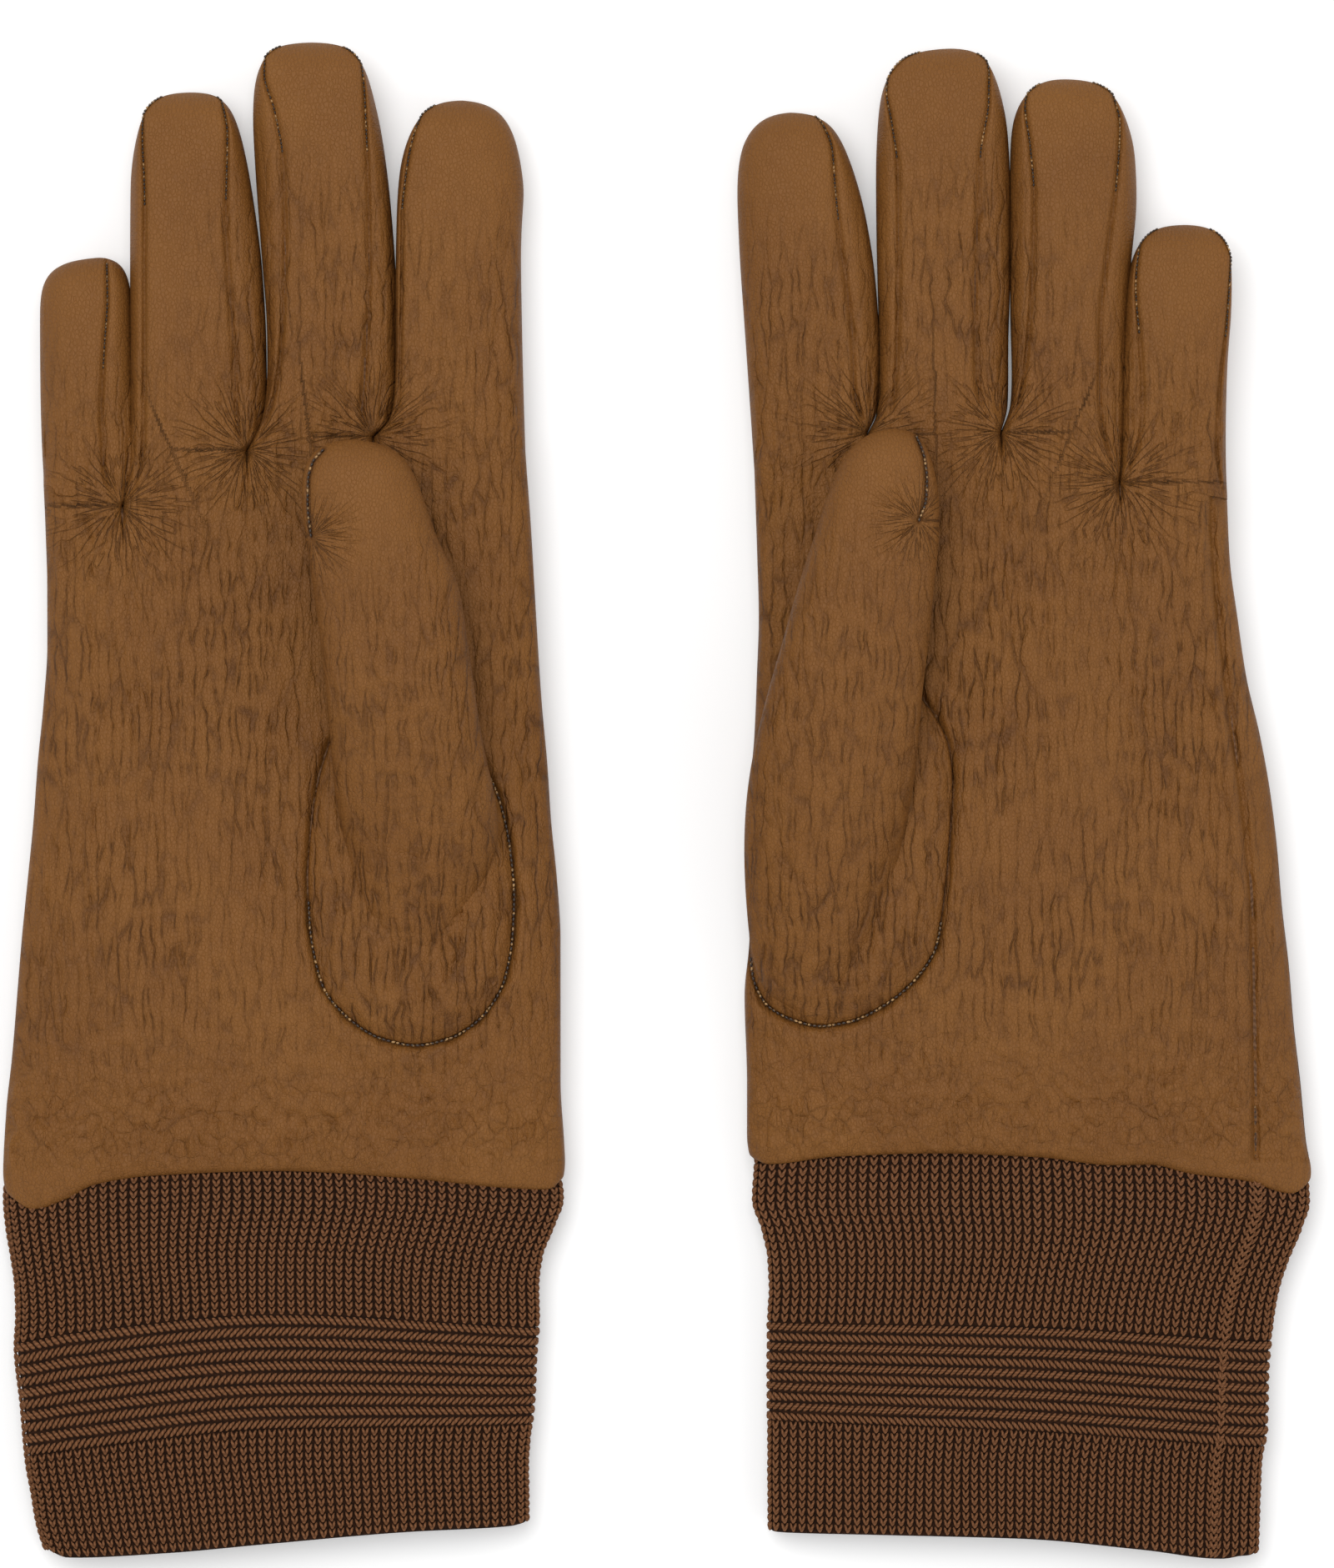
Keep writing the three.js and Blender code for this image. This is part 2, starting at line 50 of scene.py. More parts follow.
# Each hand is drawn in its own flat axes, in millimetres: x towards the index finger, y up from the hem.
# Points run from the finger's root to its tip. Fingers are listed from the little finger to the index.
RIGHT_FINGERS = [
    dict(
        name="little", hinge=139.5,
        low=[
            (-48.9, 140.5), (-49.5, 150.5), (-49.8, 162.4), (-49.9, 179), (-49.2, 183.4),
            (-47.6, 185.6), (-43.5, 187.4), (-35.9, 188.3),
        ],
        high=[
            (-32.8, 137.2), (-30.4, 141), (-29.7, 147.1), (-30.3, 156), (-31.0, 170),
            (-31.4, 181.5), (-32.4, 185.6), (-33.8, 187.6), (-35.9, 188.3),
        ],
        low_seam=None,
        high_seam=[
            (-33.5, 138), (-36, 142), (-37, 149), (-37.2, 155.6), (-36.6, 168), (-35.9, 180),
            (-36.2, 188),
        ],
    ),
    dict(
        name="ring", hinge=151.5,
        low=[
            (-32.8, 137.2), (-31.9, 146), (-31.5, 156), (-31.5, 190), (-31.4, 204), (-30.7, 210),
            (-29.2, 216), (-27.6, 219), (-24.4, 221.2), (-19.2, 221.9),
        ],
        high=[
            (-7.5, 148.6), (-4.5, 153), (-3.6, 160), (-3.7, 170), (-4.6, 186), (-6.1, 198),
            (-8.2, 210), (-9.9, 216), (-11.6, 219.6), (-14.6, 221.4), (-19.2, 221.9),
        ],
        low_seam=[
            (-32, 138.5), (-29.1, 143.7), (-28.3, 150), (-28.1, 170), (-28.1, 200), (-28.6, 213),
            (-28.2, 220),
        ],
        high_seam=[
            (-7.9, 149.2), (-9.4, 153), (-9.8, 160), (-10.8, 178), (-11.8, 195), (-11.5, 213),
            (-12.4, 218.5), (-13.6, 222),
        ],
    ),
    dict(
        name="middle", hinge=155,
        low=[
            (-7.5, 148.6), (-4.2, 156), (-3.5, 165), (-3.6, 174), (-4.5, 186), (-6.1, 208),
            (-6.5, 217), (-6.2, 223), (-4.7, 228), (-1.6, 231), (5.8, 232.1),
        ],
        high=[
            (18.2, 151.3), (22.1, 155.6), (22.8, 164), (22.8, 180), (21.8, 197), (20.0, 212),
            (17.7, 222.5), (15.8, 228), (12.6, 231), (5.8, 232.1),
        ],
        low_seam=[
            (-6.9, 149.3), (-3.2, 155), (-0.9, 164), (0.2, 177), (0.5, 190), (0.1, 207),
            (-1.7, 217.6), (-3.8, 225), (-3.7, 231),
        ],
        high_seam=[
            (17.8, 152), (15.8, 156.5), (16.5, 167), (17.3, 185), (17.2, 199), (16.5, 219),
            (15.8, 227), (14.2, 231),
        ],
    ),
    dict(
        name="index", hinge=155,
        low=[
            (18.2, 151.3), (21.9, 155.6), (22.6, 165), (22.6, 180), (22.9, 198), (23.5, 206),
            (25.2, 212.5), (28.2, 217.4), (32, 219.7), (37, 220.3),
        ],
        high=[
            (49.1, 148.8), (48.7, 162), (48.4, 175), (48.2, 189), (48.5, 197), (48.9, 201.5),
            (48.5, 205), (47.4, 211), (45.4, 216), (42.3, 219), (37, 220.3),
        ],
        low_seam=[
            (19.2, 152), (23.5, 158), (24.1, 180), (24.2, 196), (25.0, 204.5), (26.4, 212),
            (29.2, 219.5),
        ],
        high_seam=None,
    ),
]
LEFT_FINGERS = [
    dict(
        name="little", hinge=143,
        low=[
            (-40, 136), (-39.8, 148), (-40.1, 163), (-41, 177), (-41, 183.6), (-40, 188),
            (-37.8, 190.9), (-33.0, 192.3),
        ],
        high=[
            (-18, 139.4), (-18.3, 148), (-18.6, 162), (-19.6, 179.5), (-20.8, 185.5), (-23.3, 190),
            (-27, 191.8), (-33.0, 192.3),
        ],
        low_seam=[(-38.6, 137), (-37.4, 147), (-38.3, 161), (-39.6, 172), (-40.6, 186)],
        high_seam=[
            (-18.8, 140.6), (-21.6, 146), (-22.8, 155), (-22.1, 168), (-21.3, 179), (-22.0, 187),
            (-24.6, 192),
        ],
    ),
    dict(
        name="ring", hinge=154,
        low=[
            (-18, 139.4), (-19.2, 150), (-19.6, 166), (-20.6, 185), (-21.7, 197), (-21.3, 207),
            (-19.6, 213.4), (-17.5, 217.8), (-14, 220.8), (-7.5, 222),
        ],
        high=[
            (6.1, 149.6), (3.9, 156), (3.8, 162), (4.1, 174), (4.2, 200), (3.9, 211), (2.5, 216.6),
            (-0.2, 220), (-3.4, 221.6), (-7.5, 222),
        ],
        low_seam=[
            (-17.4, 140.6), (-15, 147), (-13.7, 157), (-13.8, 172), (-15.4, 187), (-17.4, 203),
            (-17.9, 212), (-16.6, 218), (-15.4, 221.5),
        ],
        high_seam=[
            (5.5, 150.4), (2.4, 156), (0.7, 167), (-0.2, 180), (-0.6, 197), (0.2, 208), (1.2, 216),
            (0.2, 221),
        ],
    ),
    dict(
        name="middle", hinge=155,
        low=[
            (6.1, 149.6), (4.5, 156), (4.5, 168), (4.1, 180), (4.1, 200), (4.7, 212), (6.1, 219),
            (7.9, 224), (10.6, 227.2), (16, 228.3),
        ],
        high=[
            (33.3, 149.4), (31.2, 154), (30.9, 166), (31.4, 190), (31.5, 203), (31.1, 213),
            (30.4, 219), (28.2, 224), (24.6, 226.8), (16, 228.3),
        ],
        low_seam=[
            (6.6, 150.4), (10.1, 154.6), (11.5, 162), (11.6, 177), (11.1, 193), (10.5, 206),
            (8.8, 217), (8.7, 223), (10, 228.5),
        ],
        high_seam=[
            (32.6, 150.2), (28.4, 154), (27.2, 166), (26.9, 185), (27.1, 203), (28.3, 212.4),
            (29.4, 219), (28, 226),
        ],
    ),
    dict(
        name="index", hinge=155,
        low=[
            (33.3, 149.4), (31.0, 155), (30.7, 166), (31.5, 180), (33.4, 193), (35.7, 202),
            (38.6, 209.4), (41.8, 213.6), (49, 215.3),
        ],
        high=[
            (56.3, 142), (57.1, 154), (58.2, 170), (59.4, 188), (59.8, 200), (59, 207.6),
            (56.8, 211.8), (53.8, 214.3), (49, 215.3),
        ],
        low_seam=[
            (34.2, 150.4), (36.2, 158), (36.8, 171), (38.6, 185), (40.0, 199), (40.6, 207),
            (42.4, 212), (45, 215.5),
        ],
        high_seam=None,
    ),
]

# Edges and the side seam are (y, x). The hem, the cuff's band and its end are (x, y), and so are
# drawn outlines. The thumb's top is (y, z). oval_sewn is the stretch of the oval, by its points,
# whose stitches show, and cuff_join is where the cuff is linked.
RIGHT = dict(
    side="right", place=(-76.0, -78.3), turn=1, seed=11, fingers=RIGHT_FINGERS,
    low_edge=[
        (-6, -57.2), (0, -57.5), (14, -56.8), (25, -55.6), (49, -53.6), (61, -52.4), (73, -51.2),
        (85, -50.3), (97, -49.1), (109, -48.3), (121, -48.3), (132, -48.6), (141, -48.9),
    ],
    high_edge=[
        (-6, 57.6), (0, 57.4), (8, 57), (20, 56.3), (49, 56.3), (61, 55.6), (73, 54.4), (85, 53.6),
        (97, 52.5), (109, 51.7), (121, 51), (133, 50.3), (149, 49.1),
    ],
    hem=[
        (-57.6, -3.2), (-53, -6.0), (-46, -3.9), (-40, -1.0), (-28, 0.9), (-1, 1.9), (25, 0.5),
        (48, -1.7), (55, -2.0), (57.8, 0),
    ],
    cuff_low=[
        (-78, -47.2), (-76, -48.0), (-70, -49.8), (-64, -50.8), (-58, -51.9), (-46, -53),
        (-34, -54.2), (-28, -53.9), (-22, -54.1), (-16, -54.9), (-10, -55.9), (-4, -56.4),
        (6, -55.4),
    ],
    cuff_high=[
        (-78, 47.6), (-70, 49.2), (-58, 49.1), (-46, 50.2), (-34, 50.8), (-28, 51.3), (-22, 51.2),
        (-16, 51.9), (-10, 54.2), (-4, 56.2), (6, 54.6),
    ],
    cuff_bottom=[
        (-48.8, -76.6), (-45.9, -77.6), (-24, -76.5), (-5, -74.8), (25.5, -72.2), (46, -71.2),
        (49.3, -70.6),
    ],
    band_top=[(-54, -34), (-40, -31), (0, -27.2), (51, -30.1)],
    band_bottom=[(-53, -56.8), (-38, -54.6), (0, -50.7), (50, -50)],
    cuff_join=-53.0,
    thumb_low=[
        (26, 35.5), (23.4, 37.5), (19.4, 45.1), (16.3, 53.6), (13.9, 62.1), (12.2, 70.6),
        (10.7, 79.1), (9.5, 96.1), (8.3, 107), (6.5, 120.5), (5.0, 131), (4.2, 139), (4.4, 143.6),
        (5.8, 147), (9, 149.6), (15.1, 150.5),
    ],
    thumb_high=[
        (26, 35.5), (31.5, 43), (37.2, 53.6), (42.0, 63.5), (43.9, 71), (43.3, 77.5), (41, 87.6),
        (39.4, 97.8), (37.7, 109.7), (35.9, 121.0), (31.3, 130.9), (28.4, 139.6), (26.2, 144.8),
        (22.6, 148.6), (15.1, 150.5),
    ],
    thumb_top=[
        (34, 15.5), (45, 19.4), (58, 23.8), (72, 28.2), (88, 32.0), (104, 34.3), (128, 34.6),
        (152, 33.4),
    ],
    oval=[
        (9.5, 89), (7.5, 82.5), (6.0, 74), (5.1, 62), (5.5, 52), (8, 40), (13, 33.4), (20.2, 28.9),
        (27, 27.6), (33.8, 29.0), (40.5, 33.5), (45, 41), (46.6, 50), (46.9, 58), (46, 68),
        (43.7, 78), (40, 85), (32, 90), (20, 92.5),
    ],
    oval_sewn=(3.5, 15.5),
    thumb_stitch=[(8.8, 148.2), (6.6, 145.6), (5.7, 142), (5.6, 137), (6.3, 130.4)],
    side_seam=None,
)
LEFT = dict(
    side="left", place=(76.1, -75.7), turn=-1, seed=47, fingers=LEFT_FINGERS,
    low_edge=[
        (-6, -57.6), (-3, -57.7), (5, -56.3), (17, -55.1), (29, -53.7), (41, -52.7), (53, -51.3),
        (65, -50.3), (77, -48.8), (88, -46.8), (100, -44), (112, -42.2), (124, -40.6), (136, -40),
    ],
    high_edge=[
        (-6, 57.9), (0, 57.8), (17, 57.8), (35, 58.3), (47, 57.3), (65, 57.6), (77, 57.2),
        (88, 56.3), (100, 55.8), (112, 55.4), (124, 55.7), (142, 56.3),
    ],
    hem=[
        (-57.8, -3.0), (-54.5, -5.4), (-45, -2.8), (-33, -1.2), (-25, 0.6), (-17, 0.5), (-2, 2.1),
        (20, 2.9), (41, 2.2), (55, 0.6), (58.1, 1.8),
    ],
    cuff_low=[
        (-81, -44.0), (-78, -46.0), (-72, -46.2), (-60, -46.7), (-54, -47.7), (-42, -48),
        (-31, -49.1), (-25, -50.2), (-19, -52.2), (-13, -54.7), (-7, -56.4), (6, -55),
    ],
    cuff_high=[
        (-81, 50.6), (-76, 52.8), (-54, 52.9), (-31, 52.9), (-25, 52.6), (-19, 52.9), (-13, 54.1),
        (-7, 56), (6, 55.2),
    ],
    cuff_bottom=[
        (-46.6, -79.9), (-43.4, -80.4), (-25.3, -78.4), (-2, -76.2), (29, -75.4), (50, -75.0),
        (53, -74.4),
    ],
    band_top=[(-49, -35.4), (0, -32.3), (53, -31.5)],
    band_bottom=[(-48, -57.1), (0, -53.6), (53, -51.7)],
    cuff_join=-42.5,
    thumb_low=[
        (40, 31.5), (35.5, 39), (31.6, 47.6), (29.2, 56), (27.2, 63), (25.6, 70), (24.3, 77),
        (23.3, 86), (22.6, 96), (21.4, 105.4), (20.3, 117), (19.2, 128), (19.1, 135), (20.0, 141),
        (21.6, 146.2), (23.6, 149.2), (27.4, 150.1),
    ],
    thumb_high=[
        (48, 31.0), (54.2, 36), (56.9, 43.5), (57.8, 51), (58.3, 58), (58.5, 65), (58.2, 73),
        (57, 82.5), (54.1, 95.2), (50.7, 107.1), (47.2, 119.5), (44, 129.2), (41.3, 137.7),
        (38.9, 143.4), (35.3, 147.7), (31.6, 149.6), (27.4, 150.1),
    ],
    thumb_top=[
        (30, 16.8), (40, 20.4), (52, 25.0), (68, 29.6), (84, 32.2), (104, 34.2), (128, 34.6),
        (152, 33.4),
    ],
    oval=[
        (22.8, 96), (19.4, 91.4), (17, 86), (16.1, 79), (16.6, 69), (17.8, 56), (19.4, 45.4),
        (23.2, 39), (29.9, 33.2), (37, 29.8), (43, 28.9), (49, 30.3), (54, 33.4), (56.6, 39),
        (57.4, 47), (57.9, 58), (57.4, 72), (56, 84), (47, 95), (34, 99),
    ],
    oval_sewn=(5.5, 13.5),
    thumb_stitch=[(23.8, 148.2), (22.3, 144), (21.8, 139.4), (22.0, 135.4), (23.5, 131)],
    side_seam=[(0, -45.7), (51, -44.9), (102, -39.3), (119, -37.4), (132, -36.7), (146, -37.3)],
)

PALM_DEPTH = [(-8, 7.3), (0, 7.6), (25, 8.6), (60, 8.9), (97, 8.9), (138, 8.45), (156, 8.4)]
FINGER_DEPTH = [(0, 8.35), (0.6, 7.9), (1, 7.3)]
CUFF_DEPTH = [(-84, 5.7), (-40, 5.9), (-8, 6.2), (8, 6.4)]
CUFF_MIDDLE = 6.45
# How boxy the openings at the knuckles are; 2 is an ellipse.
ROOT_SQUARENESS = 4.6
FINGER_MIDDLE = 8.4
# The lining lies this far inside the leather's outer face.
LINING_INSET, THUMB_LINING_INSET = 1.5, 1.6
# The hem turns in with this radius, and its facing runs this far up inside.
HEM_ROLL, FACING = 1.1, 7.0
# Shares of the hand's rows where the hem's roll ends and where the facing starts.
ROLL_ENDS, FACING_STARTS = 0.05, 0.022
# Heights are read no nearer to a piece's edge than this share of its half width.
EDGE_SHARE = 0.985

# Grid columns over the palm side and the back of one finger and of the thumb.
PALM_SIDE_COLUMNS, BACK_SIDE_COLUMNS = 80, 18
THUMB_TOP_COLUMNS, THUMB_UNDER_COLUMNS = 78, 30
HAND_ROWS, THUMB_ROWS, FINGER_ROW = 240, 250, 0.47

# Columns of V stitches round the cuff, and how far apart the columns and their rows lie.
WALES, WALE_PITCH, COURSE_PITCH = 112, 2.0, 1.52
CUFF_ROUND = WALES * WALE_PITCH
UPPER_RIB_ROWS, LOWER_RIB_ROWS = 23, 14
BAND_COLUMNS, BAND_ROWS, BAND_PITCH = 84, 5, 4.2
CHAIN_LINKS, CHAIN_PITCH = 52, 1.5
# Share of the ground's rows where it turns in at the cuff's end.
CUFF_TURN = 0.62

LEATHER_LIGHT = (0.212, 0.0850, 0.0165, 1)
LEATHER_DARK = (0.178, 0.0680, 0.0120, 1)
# The leather's colour in painted shade, for its creases and seams.
LEATHER_PAINTED_SHADE = (0.060, 0.0200, 0.0035, 1)
YARN_LIGHT = (0.265, 0.118, 0.053, 1)
# The yarn's colour in painted shade, for the hollows between its strands.
YARN_PAINTED_SHADE = (0.100, 0.041, 0.018, 1)
# The cuff's ground is coloured dark as painted shade between and behind the stitches.
GROUND_PAINTED_SHADE = (0.028, 0.011, 0.005, 1)
GROUND_DEEPER_PAINTED_SHADE = (0.014, 0.006, 0.003, 1)
LINING_LIGHT = (0.20, 0.105, 0.055, 1)
# The lining's colour in painted shade, for the hollows between its rows.
LINING_PAINTED_SHADE = (0.10, 0.050, 0.026, 1)
THREAD_DARK = (0.022, 0.010, 0.004, 1)
THREAD_GOLD = (0.42, 0.24, 0.09, 1)


def smooth(points, at, flip=False):
    """A gentle curve through a few (key, value) points, read at any keys."""
    keys, values = np.array(points, float).T
    if flip:
        keys, values = values, keys
    step = np.diff(keys)
    slope = np.diff(values) / step
    lean = np.zeros(len(keys))
    same = slope[:-1] * slope[1:] > 0
    lean[1:-1][same] = 2 * slope[:-1][same] * slope[1:][same] / (slope[:-1] + slope[1:])[same]
    lean[0], lean[-1] = slope[0], slope[-1]
    at = np.clip(np.asarray(at, float), keys[0], keys[-1])
    i = np.clip(np.searchsorted(keys, at, side="right") - 1, 0, len(step) - 1)
    t = (at - keys[i]) / step[i]
    return (
        values[i] * (1 + 2 * t) * (1 - t) ** 2
        + lean[i] * step[i] * t * (1 - t) ** 2
        + values[i + 1] * t * t * (3 - 2 * t)
        + lean[i + 1] * step[i] * t * t * (t - 1)
    )


def outline(points, at):
    """Points along a drawn edge, by the share of its length."""
    p = np.array(points, float)
    run = np.concatenate([[0], np.cumsum(np.hypot(*np.diff(p, axis=0).T))])
    run /= run[-1]
    return smooth(list(zip(run, p[:, 0])), at), smooth(list(zip(run, p[:, 1])), at)


def along(points, share):
    """Points on a gentle curve through drawn points, by the share of their count."""
    p = np.array(points, float)
    run = np.linspace(0, 1, len(p))
    return smooth(list(zip(run, p[:, 0])), share), smooth(list(zip(run, p[:, 1])), share)


def noise(p, q, seed):
    """Smooth random hills from about -1 to 1 on a plane."""
    random = np.random.RandomState(seed)
    table, lean = random.permutation(1024), random.uniform(0, 2 * math.pi, 1024)
    i, j = np.floor(p).astype(int), np.floor(q).astype(int)
    f, g = p - i, q - j

    def corner(a, b):
        way = lean[(table[(i + a) & 1023] + j + b) & 1023]
        return np.cos(way) * (f - a) + np.sin(way) * (g - b)

    u, v = (t * t * t * (t * (t * 6 - 15) + 10) for t in (f, g))
    low = corner(0, 0) * (1 - u) + corner(1, 0) * u
    high = corner(0, 1) * (1 - u) + corner(1, 1) * u
    return 1.5 * (low * (1 - v) + high * v)


def fold_lines(p, q, seed, width):
    """1 along thin wandering lines, falling to 0 beside them."""
    return np.exp(-((noise(p, q, seed) / width) ** 2))


def near(x, y, points, closed=False):
    """Distance in the plane from each point to a drawn line."""
    p = np.array(points, float)
    if closed:
        p = np.vstack([p, p[:1]])
    best = np.full(np.shape(x), 1e9)
    for k in range(len(p) - 1):
        a, d = p[k], p[k + 1] - p[k]
        t = np.clip(((x - a[0]) * d[0] + (y - a[1]) * d[1]) / (d @ d), 0, 1)
        best = np.minimum(best, np.hypot(x - a[0] - t * d[0], y - a[1] - t * d[1]))
    return best


def rounded(share, squareness):
    """A rounded section, 1 in the middle and 0 at both edges: 2 gives an ellipse, more a boxier one."""
    return np.clip(1 - np.abs(share) ** squareness, 0, 1) ** (1 / squareness)


def to_room(hand, x, y, z):
    """Flat hand millimetres to metres in the room; the left hand is the mirror of the right."""
    px, py = hand["place"]
    return np.stack([(px + hand["turn"] * x) * MM, (py + y) * MM, z * MM], -1)


def new_object(name, mesh, material):
    """A smooth-shaded object with one material, at the origin."""
    thing = bpy.data.objects.new(name, mesh)
    bpy.context.scene.collection.objects.link(thing)
    mesh.materials.clear()
    mesh.materials.append(material)
    mesh.polygons.foreach_set("use_smooth", [True] * len(mesh.polygons))
    return thing


def shaped_grid(hand, name, columns, rows, shape, material, relief=None, facts=None):
    """A grid bent to a shape, closed where its edges meet.

    shape(u, v) gives x, y, z in hand millimetres, relief(x, y) lifts it along z by how level it lies,
    and facts(x, y, z) gives the values that its material reads.
    """
    bm = bmesh.new()
    bmesh.ops.create_grid(bm, x_segments=columns, y_segments=rows, size=0.5)
    mesh = bpy.data.meshes.new(name)
    bm.to_mesh(mesh)
    bm.free()
    flat = np.zeros(len(mesh.vertices) * 3)
    mesh.vertices.foreach_get("co", flat)
    u, v = (flat.reshape(-1, 3)[:, :2] + 0.5).T
    x, y, z = shape(np.clip(u, 0, 1), np.clip(v, 0, 1))
    mesh.vertices.foreach_set("co", to_room(hand, x, y, z).ravel())
    mesh.update()
    if relief is not None:
        level = np.zeros(len(mesh.vertices) * 3)
        mesh.vertex_normals.foreach_get("vector", level)
        upright = level.reshape(-1, 3)[:, 2]
        way = np.where(z > np.median(z), 1, -1)
        z = z + relief(x, y) * np.abs(upright) * way
        mesh.vertices.foreach_set("co", to_room(hand, x, y, z).ravel())
    hide = mesh.attributes.new("hide", "FLOAT_VECTOR", "POINT")
    hide.data.foreach_set("vector", np.stack([x, y, z], -1).ravel())
    for key, value in (facts(x, y, z) if facts else {}).items():
        kind = "FLOAT_VECTOR" if value.ndim > 1 else "FLOAT"
        fact = mesh.attributes.new(key, kind, "POINT")
        fact.data.foreach_set("vector" if value.ndim > 1 else "value", value.ravel())
    bm = bmesh.new()
    bm.from_mesh(mesh)
    bmesh.ops.remove_doubles(bm, verts=bm.verts, dist=2e-6)
    bmesh.ops.recalc_face_normals(bm, faces=bm.faces)
    bm.to_mesh(mesh)
    bm.free()
    return new_object(name, mesh, material)


def tree_of(name):
    """A new material with its node tree and its main shader."""
    material = bpy.data.materials.new(name)
    material.use_nodes = True
    tree = material.node_tree
    return material, tree, tree.nodes["Principled BSDF"]


def step(tree, kind, inputs=(), **settings):
    """Adds one shader node; inputs are (socket, value or another node's socket)."""
    node = tree.nodes.new("ShaderNode" + kind)
    for key, value in settings.items():
        setattr(node, key, value)
    for key, value in inputs:
        if isinstance(value, bpy.types.NodeSocket):
            tree.links.new(value, node.inputs[key])
        else:
            node.inputs[key].default_value = value
    return node


def value_of(tree, name, out="Fac"):
    """One of the piece's own stored values."""
    return step(tree, "Attribute", attribute_name=name).outputs[out]


def sums(tree, how, a, b=0.0, c=None):
    """One step of arithmetic in a material."""
    inputs = [(0, a), (1, b)] + ([(2, c)] if c is not None else [])
    return step(tree, "Math", inputs, operation=how).outputs[0]


def thin_lines(tree, source, scale, width, detail=2.0):
    """1 on thin wandering lines of a noise, 0 between them."""
    placed = step(tree, "VectorMath", [(0, source), (1, scale)], operation="MULTIPLY").outputs[0]
    hills = step(
        tree, "TexNoise", [("Vector", placed), ("Scale", 1.0), ("Detail", detail), ("Roughness", 0.5)],
    )
    away = sums(tree, "ABSOLUTE", sums(tree, "SUBTRACT", hills.outputs["Fac"], 0.5))
    spread = [("Value", away), ("From Min", 0.0), ("From Max", width), ("To Min", 1.0), ("To Max", 0.0)]
    return step(tree, "MapRange", spread, interpolation_type="SMOOTHSTEP").outputs[0]


def cell_lines(tree, source, scale, width, sway):
    """1 along the borders of wandering cells, as creased hide shows, with some borders deeper than others."""
    drift = step(tree, "TexNoise", [("Vector", source), ("Scale", 0.16), ("Detail", 2.0)]).outputs["Color"]
    drift = step(tree, "VectorMath", [(0, drift), (1, (sway, sway, 0.0))], operation="MULTIPLY").outputs[0]
    swayed = step(tree, "VectorMath", [(0, source), (1, drift)], operation="ADD").outputs[0]
    placed = step(tree, "VectorMath", [(0, swayed), (1, scale)], operation="MULTIPLY").outputs[0]
    cells = step(tree, "TexVoronoi", [("Vector", placed), ("Scale", 1.0)], feature="DISTANCE_TO_EDGE")
    spread = [("Value", cells.outputs["Distance"]), ("From Max", width), ("To Min", 1.0), ("To Max", 0.0)]
    line = step(tree, "MapRange", spread, interpolation_type="SMOOTHSTEP").outputs[0]
    valley = [("Value", cells.outputs["Distance"]), ("From Max", 3.2 * width)]
    valley += [("To Min", 0.45), ("To Max", 0.0)]
    valley = step(tree, "MapRange", valley, interpolation_type="SMOOTHSTEP").outputs[0]
    line = sums(tree, "MULTIPLY_ADD", line, 0.55, valley)
    depth = step(tree, "TexNoise", [("Vector", source), ("Scale", 0.23), ("Detail", 1.0)]).outputs["Fac"]
    uneven = [("Value", depth), ("From Min", 0.32), ("From Max", 0.58), ("To Min", 0.3)]
    depth = step(tree, "MapRange", uneven).outputs[0]
    return sums(tree, "MULTIPLY", line, depth)


